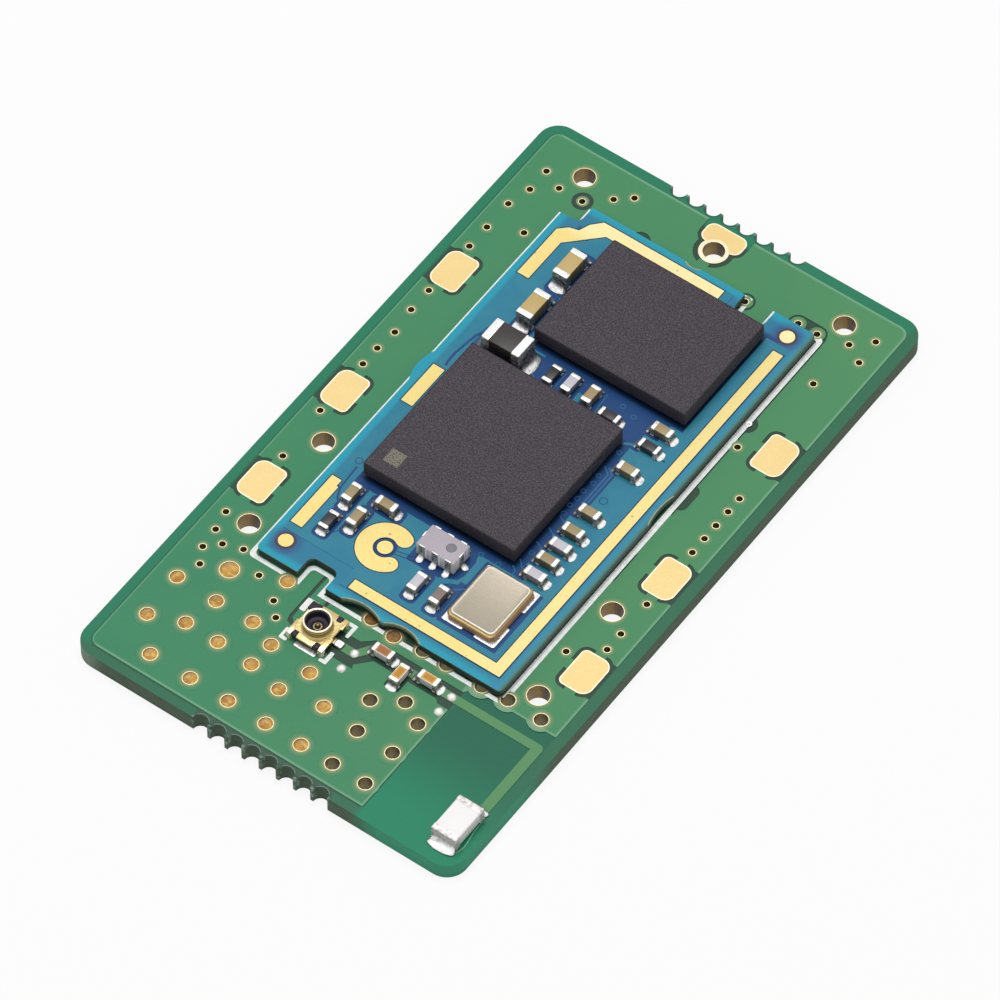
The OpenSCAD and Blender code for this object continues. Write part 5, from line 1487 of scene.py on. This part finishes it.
low, high = box_mm("connector_contact")
post_r = (high.y - low.y) / 2
post = raised((low.z, [(1.0, POST_FOOT)]), (high.z, POST))
bm = bmesh.new()
add_loft(bm, [[by_connector(post_r * r * c, post_r * r * s, z) for c, s in unit_circle(POST_POINTS)]
              for r, z in post])
add_block(bm, by_connector(0, TAIL_Y[0], low.z),
          (high.x, CONNECTOR[1] + TAIL_Y[1], low.z + TAIL_T), TAIL_ROUND)
new_piece("connector_pin", bm, connector_gold, ["connector_contact"])

# %% [markdown]
# Pale collars round the plated holes
#
# Each hole's place is read from the CAD plating, so that none has to be typed: its islands are gathered,
# and the box of each gives the middle and the outer radius. A collar is a very flat ring round it,
# two thousandths of a millimetre high, with halo 1 on its inner edge and 0 on its outer edge
# for the lacquer to read.

# %% Gather the holes and ring them
COLLAR_WIDE = {"pin_hole_plating": 0.22, "ground_via_plating": 0.28, "signal_via_plating": 0.2}
COLLAR_OVER, COLLAR_T, HALO_MOST, HALO_FALL = 0.04, 0.002, 0.62, 2.4
COLLAR_SHARES, COLLAR_STEPS = (0.0, 0.12, 0.28, 0.55, 1.0), 28
TOP_PAD_HOLE = 0.0, 15.6


def welded(node):
    """A node's CAD mesh, with the corners of neighbouring faces joined."""
    bm = bmesh.new()
    bm.from_mesh(nodes[node].data)
    bmesh.ops.remove_doubles(bm, verts=bm.verts, dist=1e-7)
    return bm


def hole_rims(node):
    """Middle and outer radius of every plated hole in a node, in mm."""
    bm = welded(node)
    waiting = set(bm.verts)
    rims = []
    while waiting:
        island, border = [], [waiting.pop()]
        while border:
            vert = border.pop()
            island.append(vert.co / MM)
            for edge in vert.link_edges:
                other = edge.other_vert(vert)
                if other in waiting:
                    waiting.remove(other)
                    border.append(other)
        xs, ys = [p.x for p in island], [p.y for p in island]
        rims.append(((max(xs) + min(xs)) / 2, (max(ys) + min(ys)) / 2, (max(xs) - min(xs)) / 2))
    bm.free()
    return sorted(rims)


bm = bmesh.new()
halo_layer = bm.verts.layers.float.new("halo")
for node, wide in COLLAR_WIDE.items():
    for x, y, r in hole_rims(node):
        if math.dist((x, y), TOP_PAD_HOLE) < r:
            continue
        inner = r - COLLAR_OVER
        profile = ([(inner + wide * s, CARRIER_TOP + COLLAR_T * (1 - s)) for s in COLLAR_SHARES]
                   + [(inner + wide, CARRIER_TOP - COLLAR_T), (inner, CARRIER_TOP - COLLAR_T)])
        for loop in add_lathe(bm, (x, y), profile, COLLAR_STEPS):
            for vert, share in zip(loop, COLLAR_SHARES + (1.0, 0.0)):
                vert[halo_layer] = HALO_MOST * (1 - share) ** HALO_FALL
new_piece("mask_collars", bm, green_copper)

# %% [markdown]
# Resin in the filled holes
#
# The resin shrinks as it hardens and clings to the plating, so it sags in the middle and climbs at the wall.
# A flat disc with a bump would not catch the light as a dish does. So a filling is lofted through circles:
# up the outside, over the brim and down into the dish, with seeded unevenness.

# %% Pour the fillings
DISH = ((1.0, 0.012), (0.93, 0.026), (0.8, 0.038), (0.6, 0.047), (0.35, 0.05), (0.12, 0.05))
FILL_LOW, FILL_POINTS, FILL_TILT = 0.05, 24, 0.006
SHADE_FROM = -0.9, 0.35
sag = random.Random(3)

bm = bmesh.new()
shade_layer = bm.verts.layers.float.new("shade")
circle = unit_circle(FILL_POINTS)
for x, y, r in hole_rims("ground_via_plugs"):
    rings = [[Vector((x + r * c, y + r * s, FILL_LOW)) for c, s in circle]]
    for share, drop in DISH:
        tilt_x, tilt_y = sag.uniform(-FILL_TILT, FILL_TILT), sag.uniform(-FILL_TILT, FILL_TILT)
        top = CARRIER_TOP - drop
        rings.append([Vector((x + r * share * c, y + r * share * s, top + tilt_x * c + tilt_y * s))
                      for c, s in circle])
    for row, (share, drop) in zip(add_loft(bm, rings)[1:], DISH):
        for vert, (c, s) in zip(row, circle):
            vert[shade_layer] = max(0.0, SHADE_FROM[0] * c + SHADE_FROM[1] * s) * share ** 3
new_piece("via_fillings", bm, amber_filling, ["ground_via_plugs"])

# %% [markdown]
# Flat ribbons and rings
#
# Tracks, gaps and hairlines are thin flat bands. A bevelled curve would do, but it leaves open ends.
# So a ribbon is lofted through small upright rectangles, one at each corner of its path,
# and a ring is turned. At a sharp corner the mitre would shoot out, so its reach has a limit.

# %% Helpers for flat ribbons and rings
RING_STEPS = 24
MITRE_LEAST = 0.5


def add_ribbon(bm, path, width, low, high, closed=False):
    """A flat band along a path, with mitred corners. A closed one lies outside an anticlockwise path."""
    path = [Vector(p) for p in path]
    sides = (0, -2) if closed else (1, -1)
    rings = []
    for i, p in enumerate(path):
        before = (p - path[i - 1]).normalized() if i or closed else (path[1] - p).normalized()
        after = (path[(i + 1) % len(path)] - p).normalized() if i + 1 < len(path) or closed else before
        along = (before + after).normalized()
        reach = width / 2 / max(MITRE_LEAST, along.dot(before))
        offset = Vector((-along.y, along.x)) * reach
        section = (0, low), (0, high), (1, high), (1, low)
        rings.append([Vector((*(p + offset * sides[k]), z)) for k, z in section])
    add_loft(bm, rings, closed)


def add_band_ring(bm, x, y, r, width, low, high):
    add_lathe(bm, (x, y), [(r - width, low), (r, low), (r, high), (r - width, high)], RING_STEPS)


print("ribbon helpers ready")

# %% [markdown]
# Fine tracks on the module
#
# Between the chips run tracks and small holes that are closed by the lacquer. They stand up only by
# the copper's thickness. A mask could draw them, but not the shine along their edges, so each is
# a flat ribbon along a few corner points, and a ring stands for a closed hole.
# Wide ribbons add patches of copper, and where the copper is parted, a darker ribbon marks the gap.

# %% Draw the patches, tracks and gaps
TRACK_LOW, TRACK_HIGH, GAP_HIGH, TRACK_CREST = [MODULE_TOP + up for up in (-0.025, -0.004, 0.0025, 0.004)]
TRACK_RING_R, RING_W = 0.13, 0.04
PATCHES = [
    ((0.05, 4.7), (0.05, 5.6), 0.28), ((4.5, -4.12), (4.5, 4.75), 1.4), ((4.68, 4.7), (4.68, 6.45), 1.0),
    ((3.05, 4.5), (3.35, 4.65), (3.7, 4.72), 0.13), ((-4.66, 12.2), (-4.66, 12.5), 0.35),
    ((1.62, -3.95), (1.76, -4.3), (1.78, -5.2), (1.62, -5.6), (0.85, -5.98), 0.24),
]
TRACKS = [
    ((2.1, -5.72), (1.7, -6.02), 0.08), ((3.05, -3.05), (3.45, -3.45), 0.06),
    ((3.0, -3.5), (3.25, -3.7), (3.25, -4.0), 0.06), ((3.12, 3.05), (3.5, 2.75), (3.5, 1.0), 0.08),
    ((3.3, 3.1), (3.66, 2.82), (3.66, 1.0), 0.08), ((-1.1, 5.0), (-1.1, 6.1), 0.05),
    ((1.1, 5.0), (1.0, 6.2), 0.05), ((-2.35, 5.3), (-2.0, 5.0), 0.06),
    ((3.08, -0.2), (3.5, -0.45), 0.06), ((3.08, -1.0), (3.55, -1.25), 0.06),
    ((3.08, -1.9), (3.5, -2.1), 0.06),
]
TRACK_RINGS = [(1.56, -3.84), (2.45, -3.82), (3.2, 4.0), (3.2, 2.48), (3.24, 2.02), (3.14, 1.44),
               (3.16, 0.96), (3.1, 0.5), (3.15, 0.0), (3.25, -2.5), (2.6, 5.9), (1.9, 6.1)]
GAPS = [
    ((-5.47, -3.2), (-5.39, -4.51), (-5.2, -4.99), (-4.97, -5.23), 0.09), ((-4.1, -6.4), (-4.5, -6.95), 0.05),
    ((-5.59, 3.40), (-5.65, 3.63), (-5.66, 4.18), (-5.49, 5.49), (-5.32, 5.85), 0.12),
    ((-1.42, -5.8), (-0.55, -5.58), 0.05), ((-1.42, -6.0), (-0.55, -5.78), 0.05),
    ((1.86, -5.5), (1.82, -6.56), (1.84, -7.6), 0.3), ((3.58, 0.95), (3.58, 3.0), 0.46),
]
GAP_RINGS = [(-5.58, -2.91, 0.18), (4.15, 1.5, 0.2)]


def ribbons(paths, low, high):
    """A drawing of open ribbons; the last entry of each path is its width."""
    bm = bmesh.new()
    for *path, width in paths:
        add_ribbon(bm, path, width, low, high)
    return bm


bm = ribbons(PATCHES, TRACK_LOW, TRACK_HIGH)
new_piece("module_copper_patches", bm, blue_copper)
bm = ribbons(TRACKS, TRACK_LOW, TRACK_CREST)
for x, y in TRACK_RINGS:
    add_band_ring(bm, x, y, TRACK_RING_R, RING_W, TRACK_LOW, TRACK_HIGH)
new_piece("module_tracks", bm, blue_ring)
bm = ribbons(GAPS, TRACK_HIGH, GAP_HIGH)
for x, y, r in GAP_RINGS:
    add_band_ring(bm, x, y, r, RING_W, TRACK_HIGH, GAP_HIGH)
new_piece("module_gaps", bm, blue_gap)

# %% [markdown]
# Lines round the lands and pads
#
# A dark hairline runs round every bare land, where the lacquer stops, and the test pads have a rolled rim
# whose pale colour is a painted highlight. Typed outlines could drift from the CAD ones, so both follow the
# outline of the CAD node's upper face: an edge between a face that looks up and one that doesn't.
# One hole in the carrier stands free of the copper, in a dark ring.

# %% Draw the land lines, pad rims and the free hole's ring
LAND_LINE, PAD_RIM, PAD_RIM_T = 0.05, 0.06, 0.002
FREE_HOLE, FREE_HOLE_R, FREE_HOLE_RING, FREE_HOLE_T = (-6.24, 14.47), 0.49, 0.19, 0.004
FACES_UP = 0.9


def top_outlines(node):
    """Outlines of a node's upper face in mm, anticlockwise round the solid."""
    bm = welded(node)
    ahead = {}
    for face in bm.faces:
        for loop in face.loops if face.normal.z > FACES_UP else ():
            if loop.link_loop_radial_next.face.normal.z < FACES_UP:
                ahead[loop.vert] = loop.link_loop_next.vert
    outlines = []
    while ahead:
        vert, after = ahead.popitem()
        outline = [vert.co.xy / MM]
        while after in ahead:
            outline.append(after.co.xy / MM)
            after = ahead.pop(after)
        outlines.append(outline)
    bm.free()
    return outlines


bm = bmesh.new()
for node in ("shield_lands", "probe_land"):
    for outline in top_outlines(node):
        add_ribbon(bm, outline, LAND_LINE, TRACK_LOW, GAP_HIGH, True)
new_piece("land_edges", bm, land_shade)
# Pale rims round the test pads: a painted highlight.
bm = bmesh.new()
low, high = box_mm("test_pads")
for outline in top_outlines("test_pads"):
    # An outline that is read backwards has its ribbon inside.
    add_ribbon(bm, outline[::-1], PAD_RIM, low.z, high.z + PAD_RIM_T, True)
new_piece("pad_rim_highlights", bm, pad_highlight_gold)
bm = bmesh.new()
add_band_ring(bm, *FREE_HOLE, FREE_HOLE_R, FREE_HOLE_RING, CARRIER_TOP, CARRIER_TOP + FREE_HOLE_T)
new_piece("free_hole_ring", bm, thin_line("clearing_shade", "#2a3a33", "#3a4c44"))

# %% [markdown]
# Pale scars of the breaking tabs
#
# The module was snapped out of a panel. Where its tabs were cut, the edge is hollow and the bare glass cloth
# shows as a pale line. A mask would need the shape of every hollow. A narrow ribbon along each hollow's arc,
# worked out from its width and depth, is simpler.

# %% Draw the scars
SCAR_W, SCAR_Z = 0.06, [box_mm("module_board")[1].z + up for up in (-0.015, 0.0035)]
SCAR_STEPS = 8
HOLLOWS = [((-0.9, MODULE_LOW), (0, 1), 2.0, 0.28), ((1.25, MODULE_LOW), (0, 1), 1.85, 0.30),
           ((-0.07, MODULE_HIGH), (0, -1), 0.75, 0.12), ((MODULE_HALF_X, 2.54), (-1, 0), 1.9, 0.13)]

bm = bmesh.new()
for edge, inward, chord, depth in HOLLOWS:
    radius = (chord * chord / 4 + depth * depth) / (2 * depth)
    inward = Vector(inward)
    middle = Vector(edge) + inward * (depth - radius)
    sweep = math.asin(chord / 2 / radius)
    side = Vector((-inward.y, inward.x))
    arc = [middle + (inward * math.cos(t) + side * math.sin(t)) * (radius + SCAR_W / 2)
           for t in (sweep * i / SCAR_STEPS for i in range(-SCAR_STEPS, SCAR_STEPS + 1))]
    add_ribbon(bm, arc, SCAR_W, *SCAR_Z)
new_piece("tab_scars", bm, bare_laminate)

# %% [markdown]
# Print along the right edge
#
# The white line on the right runs over one small plated hole. The ink sank in and left a grey ring in the
# white. On this side the line also reaches in to the module's edge, so a thin strip of ink fills the gap.
# Beside the aerial the lacquer ends in a thin pale lip. All three are so low that ribbons and a ring will do.

# %% Ring the printed-over hole, fill the gap, draw the lip
PRINTED_HOLE, PRINT_TOP = (6.62, 8.79), box_mm("white_legend")[1].z
SUNK_RING = (0.05, -0.01), (0.17, -0.01), (0.16, 0.012), (0.12, 0.018), (0.07, 0.008), (0.05, 0.002)
STRIP_W, STRIP_OUT, STRIP_SHORT = 0.066, 0.035, 0.1
LACQUER_EDGE = (9.41, -16.67), (9.55, -16.45), (9.62, -16.1), (9.57, -15.74), (9.48, -15.2), (9.46, -14.4)
LIP_W, LIP_SUNK, LIP_T = 0.045, 0.01, 0.004

bm = bmesh.new()
add_lathe(bm, PRINTED_HOLE, raised((PRINT_TOP, SUNK_RING)), RING_STEPS)
new_piece("printed_over_hole", bm, tin_plating)
bm = bmesh.new()
strip = [(MODULE_HALF_X + STRIP_OUT, y) for y in (MODULE_LOW + STRIP_SHORT, MODULE_HIGH - STRIP_SHORT)]
add_ribbon(bm, strip, STRIP_W, CARRIER_TOP, PRINT_TOP)
new_piece("print_under_edge", bm, white_print)
board_top = box_mm("carrier_board")[1].z
bm = bmesh.new()
add_ribbon(bm, LACQUER_EDGE, LIP_W, board_top - LIP_SUNK, board_top + LIP_T)
new_piece("lacquer_edge_by_aerial", bm, thin_line("lacquer_edge", "#6fae90", "#9cc8b0"))
